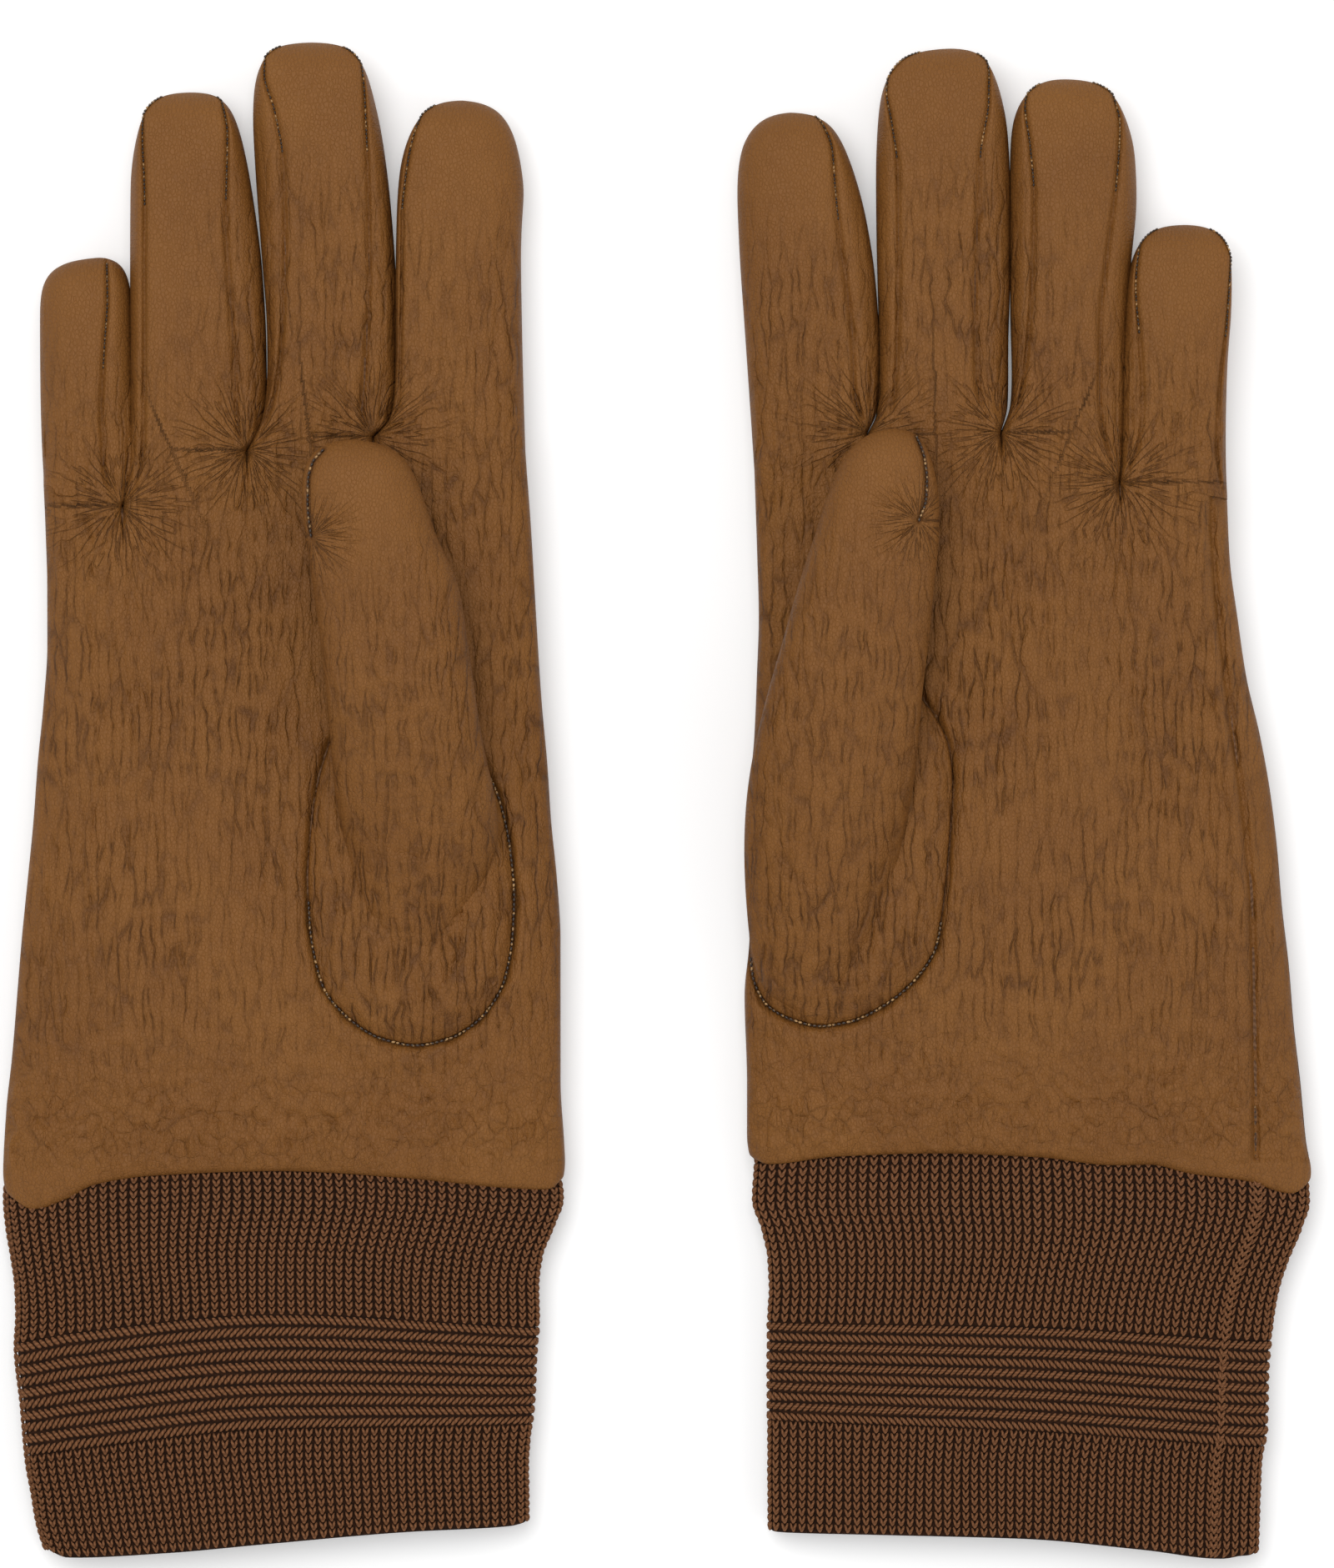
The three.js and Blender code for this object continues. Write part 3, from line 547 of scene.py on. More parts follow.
def glove_leather():
    """Brown leather: long creases, hem polygons, gathers, grain and pores, with painted shade in the creases
    and seams.
    """
    material, tree, shader = tree_of("brown_hairsheep_leather")
    hide = value_of(tree, "hide", "Vector")
    crease_amount = value_of(tree, "creasing")
    pucker = value_of(tree, "pucker", "Vector")
    gather = value_of(tree, "gather")
    long_lines = cell_lines(tree, hide, (0.44, 0.070, 0.03), 0.100, 2.6)
    short_lines = cell_lines(tree, hide, (0.80, 0.30, 0.05), 0.12, 1.8)
    hem_lines = cell_lines(tree, hide, (0.34, 0.27, 0.03), 0.085, 3.0)
    gathers = thin_lines(tree, pucker, (1.0, 1.0, 1.0), 0.05, 2.0)
    pebbles = step(tree, "VectorMath", [(0, hide), (1, (1.45, 1.05, 0.2))], operation="MULTIPLY").outputs[0]
    grain = step(tree, "TexVoronoi", [("Vector", pebbles), ("Scale", 1.0)], feature="DISTANCE_TO_EDGE")
    grain = grain.outputs["Distance"]
    grain = step(tree, "MapRange", [("Value", grain), ("From Max", 0.16), ("To Max", 1.0)]).outputs[0]
    pores = step(tree, "TexNoise", [("Vector", hide), ("Scale", 5.5), ("Detail", 2.0)]).outputs["Fac"]
    cut = sums(tree, "MULTIPLY", long_lines, crease_amount)
    cut = sums(tree, "MULTIPLY_ADD", sums(tree, "MULTIPLY", short_lines, crease_amount), 0.26, cut)
    cut = sums(tree, "MULTIPLY_ADD", hem_lines, value_of(tree, "flexing"), cut)
    cut = sums(tree, "MULTIPLY_ADD", sums(tree, "MULTIPLY", gathers, gather), 0.9, cut)
    height = sums(tree, "MULTIPLY_ADD", cut, -0.74, 0.0)
    height = sums(tree, "MULTIPLY_ADD", grain, 0.13, height)
    height = sums(tree, "MULTIPLY_ADD", pores, 0.10, height)
    bump = step(tree, "Bump", [("Strength", 1.0), ("Distance", 0.00060), ("Height", height)])
    tree.links.new(bump.outputs["Normal"], shader.inputs["Normal"])
    patches = [("Vector", hide), ("Scale", 0.045), ("Detail", 4.0), ("Roughness", 0.6)]
    patches = step(tree, "TexNoise", patches).outputs["Fac"]
    tone = step(tree, "MapRange", [("Value", patches), ("From Min", 0.3), ("From Max", 0.7)]).outputs[0]
    skin = step(tree, "Mix", [(0, tone), (6, LEATHER_DARK), (7, LEATHER_LIGHT)], data_type="RGBA").outputs[2]
    # Painted shade: the creases, gathers and hem lines are darkened in the colour; the grain's lines darken a
    # little too.
    painted_shade_and_grain = sums(tree, "MULTIPLY", cut, 0.46)
    painted_shade_and_grain = sums(tree, "MULTIPLY_ADD", sums(tree, "SUBTRACT", 1.0, grain), 0.10, painted_shade_and_grain)
    painted_shade_and_grain = step(tree, "Clamp", [("Value", painted_shade_and_grain), ("Max", 0.75)]).outputs[0]
    # Painted shade along the seams, where sunk marks their grooves.
    painted_shade_and_grain = sums(tree, "MAXIMUM", painted_shade_and_grain, sums(tree, "MULTIPLY", value_of(tree, "sunk"), 0.9))
    skin = step(tree, "Mix", [(0, painted_shade_and_grain), (6, skin), (7, LEATHER_PAINTED_SHADE)], data_type="RGBA").outputs[2]
    tree.links.new(skin, shader.inputs["Base Color"])
    gloss = step(tree, "MapRange", [("Value", patches), ("To Min", 0.50), ("To Max", 0.62)]).outputs[0]
    tree.links.new(gloss, shader.inputs["Roughness"])
    shader.inputs["Specular IOR Level"].default_value = 0.22
    return material


def cuff_yarn(name, light, dark):
    """Plied wool: fine strands twisting along each stitch, with painted shade in the hollows between them."""
    material, tree, shader = tree_of(name)
    yarn = value_of(tree, "yarn", "Vector")
    parts = step(tree, "SeparateXYZ", [(0, yarn)])
    round_way = sums(tree, "ARCTAN2", parts.outputs[0], parts.outputs[2])
    twist = sums(tree, "MULTIPLY_ADD", parts.outputs[1], 7.0, sums(tree, "MULTIPLY", round_way, 2.0))
    ply = sums(tree, "SINE", twist)
    room = step(tree, "TexCoord").outputs["Object"]
    fluff = step(tree, "TexNoise", [("Vector", room), ("Scale", 2600.0), ("Detail", 3.0)]).outputs["Fac"]
    height = sums(tree, "MULTIPLY_ADD", ply, 0.5, fluff)
    bump = step(tree, "Bump", [("Strength", 0.6), ("Distance", 0.00012), ("Height", height)])
    tree.links.new(bump.outputs["Normal"], shader.inputs["Normal"])
    # Painted shade: the yarn darkens in the hollows between its strands, with a little random tone from the
    # fluff.
    low = step(tree, "MapRange", [("Value", ply), ("From Min", -1.0), ("From Max", 1.0)]).outputs[0]
    low = sums(tree, "MULTIPLY", sums(tree, "ADD", low, fluff), 0.5)
    tint = step(tree, "Mix", [(0, low), (6, dark), (7, light)], data_type="RGBA").outputs[2]
    tree.links.new(tint, shader.inputs["Base Color"])
    shader.inputs["Roughness"].default_value = 0.85
    shader.inputs["Specular IOR Level"].default_value = 0.10
    return material


def knitted_back(name, light, dark, across, along):
    """A fine plain knit seen from behind, for the linings and the ground between the stitches, with painted
    shade between its rows.
    """
    material, tree, shader = tree_of(name)
    hide = value_of(tree, "hide", "Vector")
    parts = step(tree, "SeparateXYZ", [(0, hide)])
    wave = sums(tree, "SINE", sums(tree, "MULTIPLY", parts.outputs[0], across))
    rows = sums(tree, "SINE", sums(tree, "MULTIPLY_ADD", parts.outputs[1], along, wave))
    fluff = step(tree, "TexNoise", [("Vector", hide), ("Scale", 2.2), ("Detail", 3.0)]).outputs["Fac"]
    height = sums(tree, "MULTIPLY_ADD", rows, 0.4, fluff)
    bump = step(tree, "Bump", [("Strength", 0.7), ("Distance", 0.0003), ("Height", height)])
    tree.links.new(bump.outputs["Normal"], shader.inputs["Normal"])
    # Painted shade: the knit darkens in the hollows between its rows, with a little random tone from the
    # fluff.
    shade = step(tree, "MapRange", [("Value", height), ("From Min", 0.0), ("From Max", 1.0)]).outputs[0]
    tint = step(tree, "Mix", [(0, shade), (6, dark), (7, light)], data_type="RGBA").outputs[2]
    tree.links.new(tint, shader.inputs["Base Color"])
    shader.inputs["Roughness"].default_value = 0.9
    shader.inputs["Specular IOR Level"].default_value = 0.10
    return material


def sewing_thread():
    """Dark thread with small golden specks."""
    material, tree, shader = tree_of("waxed_sewing_thread")
    room = step(tree, "TexCoord").outputs["Object"]
    speck = step(tree, "TexNoise", [("Vector", room), ("Scale", 900.0), ("Detail", 1.0)]).outputs["Fac"]
    shade = step(tree, "MapRange", [("Value", speck), ("From Min", 0.52), ("From Max", 0.68)]).outputs[0]
    tint = step(tree, "Mix", [(0, shade), (6, THREAD_DARK), (7, THREAD_GOLD)], data_type="RGBA").outputs[2]
    tree.links.new(tint, shader.inputs["Base Color"])
    bump = step(tree, "Bump", [("Strength", 0.4), ("Distance", 0.0001), ("Height", speck)])
    tree.links.new(bump.outputs["Normal"], shader.inputs["Normal"])
    shader.inputs["Roughness"].default_value = 0.45
    return material


LEATHER = glove_leather()
YARN = cuff_yarn("ribbed_cuff_yarn", YARN_LIGHT, YARN_PAINTED_SHADE)
# The cuff's ground: a dark knit standing in for the shade between and behind the stitches.
GROUND = knitted_back("cuff_ground_knit_painted_shade", GROUND_PAINTED_SHADE, GROUND_DEEPER_PAINTED_SHADE, 3.1, 4.1)
LINING = knitted_back("brushed_knit_lining", LINING_LIGHT, LINING_PAINTED_SHADE, 4.2, 4.6)
THREAD = sewing_thread()


def roots(hand):
    """The knuckle end of the palm: its outer edges and the three crotches between the fingers."""
    fingers = hand["fingers"]
    return [f["low"][0] for f in fingers] + [fingers[-1]["high"][0]]


def leather_relief(hand):
    """How far the leather stands off its smooth shape, in millimetres, and what its material reads."""
    crotches = roots(hand)[1:-1]
    seed = hand["seed"]
    tips = [finger["low"][-1] for finger in hand["fingers"]]

    def smoothness(x, y):
        calm = np.ones(np.shape(x))
        for tx, ty in tips:
            away = np.hypot(x - tx, (y - ty) * 0.8)
            calm = np.minimum(calm, np.clip((away - 11) / 22, 0, 1))
        return calm

    def seams(y):
        """The seams that cross this piece of leather; the thumb's oval is only on the hand."""
        lines = []
        if y.min() < min(foot for _, foot in hand["oval"]):
            lines.append(hand["oval"] + hand["oval"][:1])
        if hand["side_seam"]:
            lines.append(hand["side_seam"])
        return lines

    def relief(x, y):
        warp = 1.3 * noise(x / 7, y / 9, seed + 1)
        away = [np.hypot(x - cx, y - cy) for cx, cy in crotches]
        closest = np.minimum.reduce(away)
        calm = smoothness(x, y)
        palm = np.clip((y - 18) / 30, 0, 1)
        patch = 0.55 + 0.75 * noise(x / 19, y / 26, seed + 9)
        patch = np.clip(patch, 0.15, 1.15)
        lift = 0.30 * noise(x / 13, y / 24, seed + 2) * calm
        lift = lift - 0.42 * fold_lines((x + warp) / 3.3, y / 19, seed + 3, 0.20) * calm * palm * patch
        fine = calm * (0.35 + 0.65 * palm) * patch
        lift = lift - 0.20 * fold_lines((x + warp) / 1.9, y / 10, seed + 4, 0.24) * fine
        hem = np.clip((42 - y) / 30, 0, 1) * np.clip((y + 1) / 9, 0, 1)
        lift = lift - 0.72 * fold_lines((x + 2 * warp) / 4.2, (y + warp) / 4.4, seed + 5, 0.20) * hem
        edge = np.exp(-(((y - 4) / 6) ** 2)) * np.clip((y + 1) / 4, 0, 1)
        lift = lift - 0.40 * fold_lines((x + warp) / 2.4, y / 9, seed + 8, 0.25) * edge
        bend = np.exp(-(((y - 150) / 9) ** 2))
        lift = lift - 0.22 * fold_lines(x / 11, (y + warp) / 2.6, seed + 6, 0.22) * bend * calm
        for k, (cx, cy) in enumerate(crotches):
            r = away[k]
            turn = np.arctan2(y - cy, x - cx)
            strength = np.exp(-((r / 13) ** 2)) * np.clip(r / 2.5, 0, 1)
            lift = lift + 0.85 * noise(turn * 4.6 + 30 + 0.05 * r, r / 14 + 9 * k, seed + 7) * strength
        return lift * np.clip(closest / 1.6, 0, 1)

    def facts(x, y, z):
        """What the leather's material reads: where it is creased, gathered, flexed and sunk in a seam."""
        away = np.stack([np.hypot(x - cx, y - cy) for cx, cy in crotches])
        k = away.argmin(0)
        r = away.min(0)
        cx, cy = np.array(crotches)[k].T
        turn = np.arctan2(y - cy, x - cx)
        spokes = np.stack([turn * 5.5 + 7 * k, r / 9, 0 * r], -1)
        calm = smoothness(x, y)
        hem = np.clip((y - 8) / 30, 0.25, 1)
        flexing = 0.50 * np.clip((46 - y) / 34, 0, 1) * np.clip(y / 6, 0.3, 1)
        patch = np.clip(0.85 + 0.5 * noise(x / 21, y / 28, seed + 13), 0.4, 1.15)
        creasing = np.clip(calm * hem * patch, 0, 1.1)
        gather = np.exp(-((r / 16) ** 2)) * np.clip((r - 0.5) / 2, 0, 1)
        # sunk marks the seams' grooves, which the leather's colour darkens as painted shade.
        sunk = np.zeros(np.shape(x))
        for line in seams(y):
            away = near(x, y, line)
            sunk = np.maximum(sunk, np.exp(-((away / 0.55) ** 2)) * (z > 8))
        creasing = creasing * (1 - 0.5 * gather)
        return dict(pucker=spokes, creasing=creasing, gather=gather, flexing=flexing, sunk=sunk)

    return relief, facts


def palm_edges(hand, y):
    """The little-finger and the index edge of the hand at height y."""
    return smooth(hand["low_edge"], y), smooth(hand["high_edge"], y)


def palm_height(share, y, side, inset=0.0):
    """Height of the hand's leather above the table, across the palm by share from -1 to 1."""
    deep = smooth(PALM_DEPTH, y)
    middle = deep * 0.99
    square = smooth([(0, 2.9), (88, 3.1), (122, 4.4), (150, 6)], y)
    full = rounded(share, square if side > 0 else np.maximum(square, 3.6)) * (deep - inset)
    return middle + side * full


def palm_top(hand, x, y):
    """Height of the palm's leather at a point, without its folds."""
    low, high = palm_edges(hand, y)
    share = np.clip(2 * (x - low) / (high - low) - 1, -EDGE_SHARE, EDGE_SHARE)
    return palm_height(share, y, 1)


def hand_surface(hand, u, v, inset=0.0, hem_roll=True):
    """The closed leather tube of the hand, from its rolled hem to the knuckles, and which points face up."""
    front, back = 4 * PALM_SIDE_COLUMNS, 4 * BACK_SIDE_COLUMNS
    column = u * (front + back)
    top = column <= front
    across = np.where(top, column / front, 1 - (column - front) / back)
    part = np.clip(across * 4, 0, 4 - 1e-9)
    which = part.astype(int)
    # Every finger takes the same number of columns, close together beside the crotches.
    local = -np.cos(np.pi * (part - which))
    local = np.where(np.abs(across - 1) < 1e-9, 1.0, local)
    root = np.array(roots(hand))
    a, b = root[which], root[which + 1]
    edge = a + (b - a) * ((local + 1) / 2)[:, None]
    low, high = palm_edges(hand, edge[:, 1])
    share_top = np.clip((edge[:, 0] - low) / (high - low), 0, 1)
    share_top = np.where(across < 1e-9, 0, np.where(across > 1 - 1e-9, 1, share_top))
    share_hem = 0.62 * across + 0.38 * (0.5 - 0.5 * np.cos(np.pi * across))
    hem_low, hem_high = palm_edges(hand, 0 * u)
    hem = smooth(hand["hem"], hem_low + share_hem * (hem_high - hem_low))
    hem = np.where(top, hem, 0.55 * hem)
    rise = np.clip((v - ROLL_ENDS) / (1 - ROLL_ENDS), 0, 1)
    y = hem + HEM_ROLL + (edge[:, 1] - hem - HEM_ROLL) * rise
    settle = rise * rise * (3 - 2 * rise)
    share = share_hem + (share_top - share_hem) * settle
    inward = np.full(np.shape(u), float(inset))
    if hem_roll:
        # The lowest rows turn in over the hem and run up inside as the facing.
        turn = np.clip((ROLL_ENDS - v) / (ROLL_ENDS - FACING_STARTS), 0, 1)
        inside = np.clip((FACING_STARTS - v) / FACING_STARTS, 0, 1)
        rolled = hem + HEM_ROLL - HEM_ROLL * np.sin(np.pi * turn) + FACING * inside
        y = np.where(v < ROLL_ENDS, rolled, y)
        inward = inward + np.where(v < ROLL_ENDS, HEM_ROLL - HEM_ROLL * np.cos(np.pi * turn), 0)
    soften = np.clip((y - hem) / 5, 0, 1)
    inward = inward + 0.7 * (1 - soften) ** 2
    low, high = palm_edges(hand, y)
    low, high = low + inward, high - inward
    x = low + share * (high - low)
    side = np.where(top, 1, -1)
    palm = palm_height(2 * share - 1, y, 1, inward)
    rear = palm_height(2 * share - 1, y, -1, inward)
    z = np.where(top, palm, rear)
    # Near the knuckles the tube divides into the four finger openings.
    opening = (smooth(FINGER_DEPTH, 0 * u) - inward) * rounded(local, ROOT_SQUARENESS)
    lens = FINGER_MIDDLE + side * opening
    drop = np.exp(-((np.clip(edge[:, 1] - y, 0, None) / 3.4) ** 1.5))
    x = np.where(rise > 1 - 1e-9, edge[:, 0], x)
    return x, y, z + (lens - z) * drop, top


def seam_groove(x, y, line, depth, wide, closed=False):
    """How far a seam pulls the leather down, and the distance from it."""
    away = near(x, y, line, closed)
    return -depth * np.exp(-((away / wide) ** 2)), away


def build_hand(hand):
    """The leather of the hand with its rolled hem, and its lining."""
    relief, facts = leather_relief(hand)
    oval = hand["oval"]

    def shape(u, v):
        x, y, z, top = hand_surface(hand, u, v)
        groove, away = seam_groove(x, y, oval, 1.9, 0.8, True)
        swell = 0.8 * np.exp(-(((away - 3.2) / 2.2) ** 2))
        z = np.where(top & (z > 9), z + groove + swell, z)
        if hand["side_seam"]:
            seam = smooth(hand["side_seam"], y)
            beyond = np.clip((seam - x) / 2.0, 0, 1)
            line = -1.7 * np.exp(-(((x - seam) / 0.75) ** 2))
            swell = 0.7 * np.exp(-(((x - seam - 2.6) / 2.0) ** 2))
            z = np.where(top & (y > 1.5), z + line + swell - 0.8 * beyond, z)
        return x, y, z

    side = hand["side"]
    columns = 4 * (PALM_SIDE_COLUMNS + BACK_SIDE_COLUMNS)
    leather = shaped_grid(hand, side + "_hand_shell", columns, HAND_ROWS, shape, LEATHER, relief, facts=facts)
    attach(leather, side + "_hand")
    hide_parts(side + "_hand_leather", side + "_hem_facing")

    def inner(u, v):
        x, y, z, _ = hand_surface(hand, u, v, LINING_INSET, False)
        return x, y, z

    lining = shaped_grid(hand, side + "_hand_lining_knit", 120, 60, inner, LINING)
    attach(lining, side + "_hand")
    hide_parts(side + "_hand_lining")


def round_outline(low, high, soften=2.4):
    """Both drawn edges of a finger as dense lines, root to tip, with the tip's corners eased round."""
    at = np.linspace(0, 1, 600)
    x0, y0 = outline(low, at)
    x1, y1 = outline(high, at)
    x, y = np.concatenate([x0, x1[::-1][1:]]), np.concatenate([y0, y1[::-1][1:]])
    run = np.concatenate([[0], np.cumsum(np.hypot(np.diff(x), np.diff(y)))])
    even = np.linspace(0, run[-1], 1600)
    x, y = np.interp(even, run, x), np.interp(even, run, y)
    wide = int(4 * soften / even[1])
    weight = np.exp(-(((np.arange(-wide, wide + 1) * even[1]) / soften) ** 2) / 2)
    weight /= weight.sum()
    eased = [np.convolve(np.pad(k, wide, mode="edge"), weight, mode="valid") for k in (x, y)]
    hold = np.clip(np.minimum(even, run[-1] - even) / 9, 0, 1)
    x, y = x + (eased[0] - x) * hold, y + (eased[1] - y) * hold
    top = int(np.argmax(y))
    low_side = (even[: top + 1], x[: top + 1], y[: top + 1])
    high_side = (even[-1] - even[top:][::-1], x[top:][::-1], y[top:][::-1])
    return low_side, high_side


def edge_rows(shape, low, high, v, dome=12):
    """The two edge points of each row, with a quarter of the rows in the rounded tip."""
    if "edges" not in shape:
        shape["edges"] = round_outline(low, high)
    found = []
    for run, x, y in shape["edges"]:
        shoulder = np.interp(y[-1] - dome, y, run)
        s = np.interp(v, [0, 0.76, 1], [0, shoulder, run[-1]])
        found += [np.interp(s, run, x), np.interp(s, run, y)]
    return found


def finger_surface(finger, u, v, inset=0.0, front=PALM_SIDE_COLUMNS, back=BACK_SIDE_COLUMNS):
    """One finger stall: a closed section between its two drawn edges.

    It has a front panel and, beyond each seam, a side piece.
    """
    column = u * (front + back)
    top = column <= front
    local = np.where(top, -np.cos(np.pi * column / front), np.cos(np.pi * (column - front) / back))
    x0, y0, x1, y1 = edge_rows(finger, finger["low"], finger["high"], v)
    x = (x0 + x1) / 2 + local * np.clip((x1 - x0) / 2 - inset, 0, None)
    y = (y0 + y1) / 2 + local * (y1 - y0) / 2
    tip = finger["low"][-1][1]
    left = np.clip(tip - inset - y, 0, None)
    dome = np.sqrt(np.clip(1 - np.clip(1 - left / 7.5, 0, 1) ** 2, 0, 1))
    deep = (smooth(FINGER_DEPTH, v) - inset) * dome
    middle = smooth([(0, FINGER_MIDDLE), (0.5, 8.1), (1, 7.6)], v)
    plain = rounded(local, 2.6)
    panel = plain.copy()
    dent = np.zeros(np.shape(u))
    for way, seam in ((-1, finger["low_seam"]), (1, finger["high_seam"])):
        if not seam:
            continue
        at = smooth(seam, y, flip=True)
        half = np.maximum((x1 - x0) / 2, 1e-6)
        place = np.clip(way * (at - (x0 + x1) / 2) / half, 0.3, EDGE_SHARE)
        here = way * local
        share = np.clip(here / place, 0, 1)
        inside = 1 - 0.05 * share ** 3 - 0.09 * share ** 14
        out = np.clip((here - place) / (1 - place), 0, 1)
        level = 0.76 + 0.11 * np.clip((v - 0.1) / 0.6, 0, 1)
        swell = level + 0.07 * np.sin(np.pi * np.clip(out * 1.3, 0, 1))
        beside = swell * rounded(out, 2.3)
        panel = np.where(here > place, beside, np.where(here > 0, inside, panel))
        dent = dent - 0.95 * np.exp(-(((x - at - way * 0.1) / 0.36) ** 2)) * (here > 0)
    start = np.clip(v / 0.09, 0, 1)
    start = start * start * (3 - 2 * start)
    root = rounded(local, ROOT_SQUARENESS)
    profile = root + (panel - root) * start
    rear = rounded(local, 3.2 + (ROOT_SQUARENESS - 3.2) * (1 - start))
    z = np.where(top, middle + deep * profile, middle - deep * rear)
    z = np.where(top, z + dent * start * dome * (inset < 0.1), z)
    return x, y, z


def seam_place(finger, y, way):
    """Where a finger's seam lies, and how high, at hand height y."""
    seam = finger["low_seam"] if way < 0 else finger["high_seam"]
    at = smooth(seam, y, flip=True)
    v = np.linspace(0, 1, 400)
    x0, y0, x1, y1 = edge_rows(finger, finger["low"], finger["high"], v)
    row = np.interp(y, (y0 + y1) / 2, v)
    half = np.interp(row, v, (x1 - x0) / 2)
    mid = np.interp(row, v, (x0 + x1) / 2)
    local = np.clip((at - mid) / half, -EDGE_SHARE, EDGE_SHARE)
    column = np.arccos(-local) / np.pi * PALM_SIDE_COLUMNS
    u = column / (PALM_SIDE_COLUMNS + BACK_SIDE_COLUMNS)
    return finger_surface(finger, u, row)


def stitches(hand, name, lines, pitch=0.80, long=0.37, wide=0.20):
    """Small raised stitches in a row along each line of (x, y, z) points."""
    bm = bmesh.new()
    random = np.random.RandomState(hand["seed"])
    for line in lines:
        p = to_room(hand, *np.array(line, float).T) / MM
        run = np.concatenate([[0], np.cumsum(np.linalg.norm(np.diff(p, axis=0), axis=1))])
        for s in np.arange(pitch / 2, run[-1], pitch):
            here = np.array([np.interp(s, run, p[:, k]) for k in range(3)])
            ahead = np.array([np.interp(s + 0.1, run, p[:, k]) for k in range(3)])
            way = math.atan2(ahead[1] - here[1], ahead[0] - here[0]) + random.uniform(-0.25, 0.25)
            made = bmesh.ops.create_uvsphere(bm, u_segments=5, v_segments=4, radius=1.0)["verts"]
            turn = (
                Matrix.Translation(Vector(here * MM))
                @ Matrix.Rotation(way, 4, "Z")
                @ Matrix.Rotation(math.pi / 2, 4, "Y")
                @ Matrix.Diagonal((wide * MM, wide * 1.15 * MM, long * MM, 1))
            )
            bmesh.ops.transform(bm, matrix=turn, verts=made)
    mesh = bpy.data.meshes.new(name)
    bm.to_mesh(mesh)
    bm.free()
    return new_object(name, mesh, THREAD)


def build_finger(hand, finger):
    """One finger from its root on: its leather, its lining and the stitches near its tip."""
    side, name = hand["side"], finger["name"]
    relief, facts = leather_relief(hand)
    body = side + "_" + name
    rows = int((finger["low"][-1][1] - finger["low"][0][1]) / FINGER_ROW)
    columns = PALM_SIDE_COLUMNS + BACK_SIDE_COLUMNS

    stall = shaped_grid(
        hand, body + "_stall", columns, rows,
        lambda u, v: finger_surface(finger, u, v), LEATHER, relief, facts=facts,
    )
    sides = dict(
        index=["_fourchette"], little=["_fourchette"],
        middle=["_index_side_fourchette", "_ring_side_fourchette"],
        ring=["_middle_side_fourchette", "_little_side_fourchette"],
    )[name]
    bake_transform(stall)
    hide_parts(body + "_leather", *[body + s for s in sides])

    lining = shaped_grid(
        hand, body + "_lining_knit", 36, rows // 3,
        lambda u, v: finger_surface(finger, u, v, LINING_INSET, 24, 12), LINING,
    )
    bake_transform(lining)
    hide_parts(body + "_lining")

    lines = []
    tip = finger["low"][-1][1]
    sewn_length = 23
    for way in (-1, 1):
        if finger["low_seam" if way < 0 else "high_seam"]:
            y = np.linspace(tip - sewn_length, tip - 1.2, 60)
            x, yy, z = seam_place(finger, y, way)
            lines.append(np.stack([x + way * 0.10, yy, z + 0.42], -1))
    sewn = stitches(hand, body + "_seam_stitches", lines)
    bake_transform(sewn)
    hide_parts(body + "_seam_thread")


def thumb_surface(hand, u, v, inset=0.0):
    """The thumb stall: it rises out of the oval at the palm's foot and lies over the palm to its tip."""
    front, back = THUMB_TOP_COLUMNS, THUMB_UNDER_COLUMNS
    column = u * (front + back)
    top = column <= front
    local = np.where(top, -np.cos(np.pi * column / front), np.cos(np.pi * (column - front) / back))
    x0, y0, x1, y1 = edge_rows(hand, hand["thumb_low"], hand["thumb_high"], v)
    x = (x0 + x1) / 2 + local * np.clip((x1 - x0) / 2 - inset, 0, None)
    y = (y0 + y1) / 2 + local * (y1 - y0) / 2
    crest = smooth(hand["thumb_top"], y) - inset
    under = smooth([(30, 11), (70, 11.5), (88, 15), (96, 18.5), (152, 18.7)], y) + inset
    tip = hand["thumb_low"][-1][1]
    left = np.clip(tip - inset - y, 0, None)
    dome = np.sqrt(np.clip(1 - np.clip(1 - left / 8.5, 0, 1) ** 2, 0, 1))
    middle, deep = (crest + under) / 2, (crest - under) / 2 * dome
    shape = rounded(local, 2.35) ** smooth([(30, 1.9), (60, 1.7), (84, 1), (152, 1)], y)
    z = middle + np.where(top, 1, -1) * deep * shape
    if inset < 0.1:
        groove, _ = seam_groove(x, y, hand["thumb_stitch"], 0.9, 0.6)
        z = np.where(top, z + groove, z)
    return x, y, z


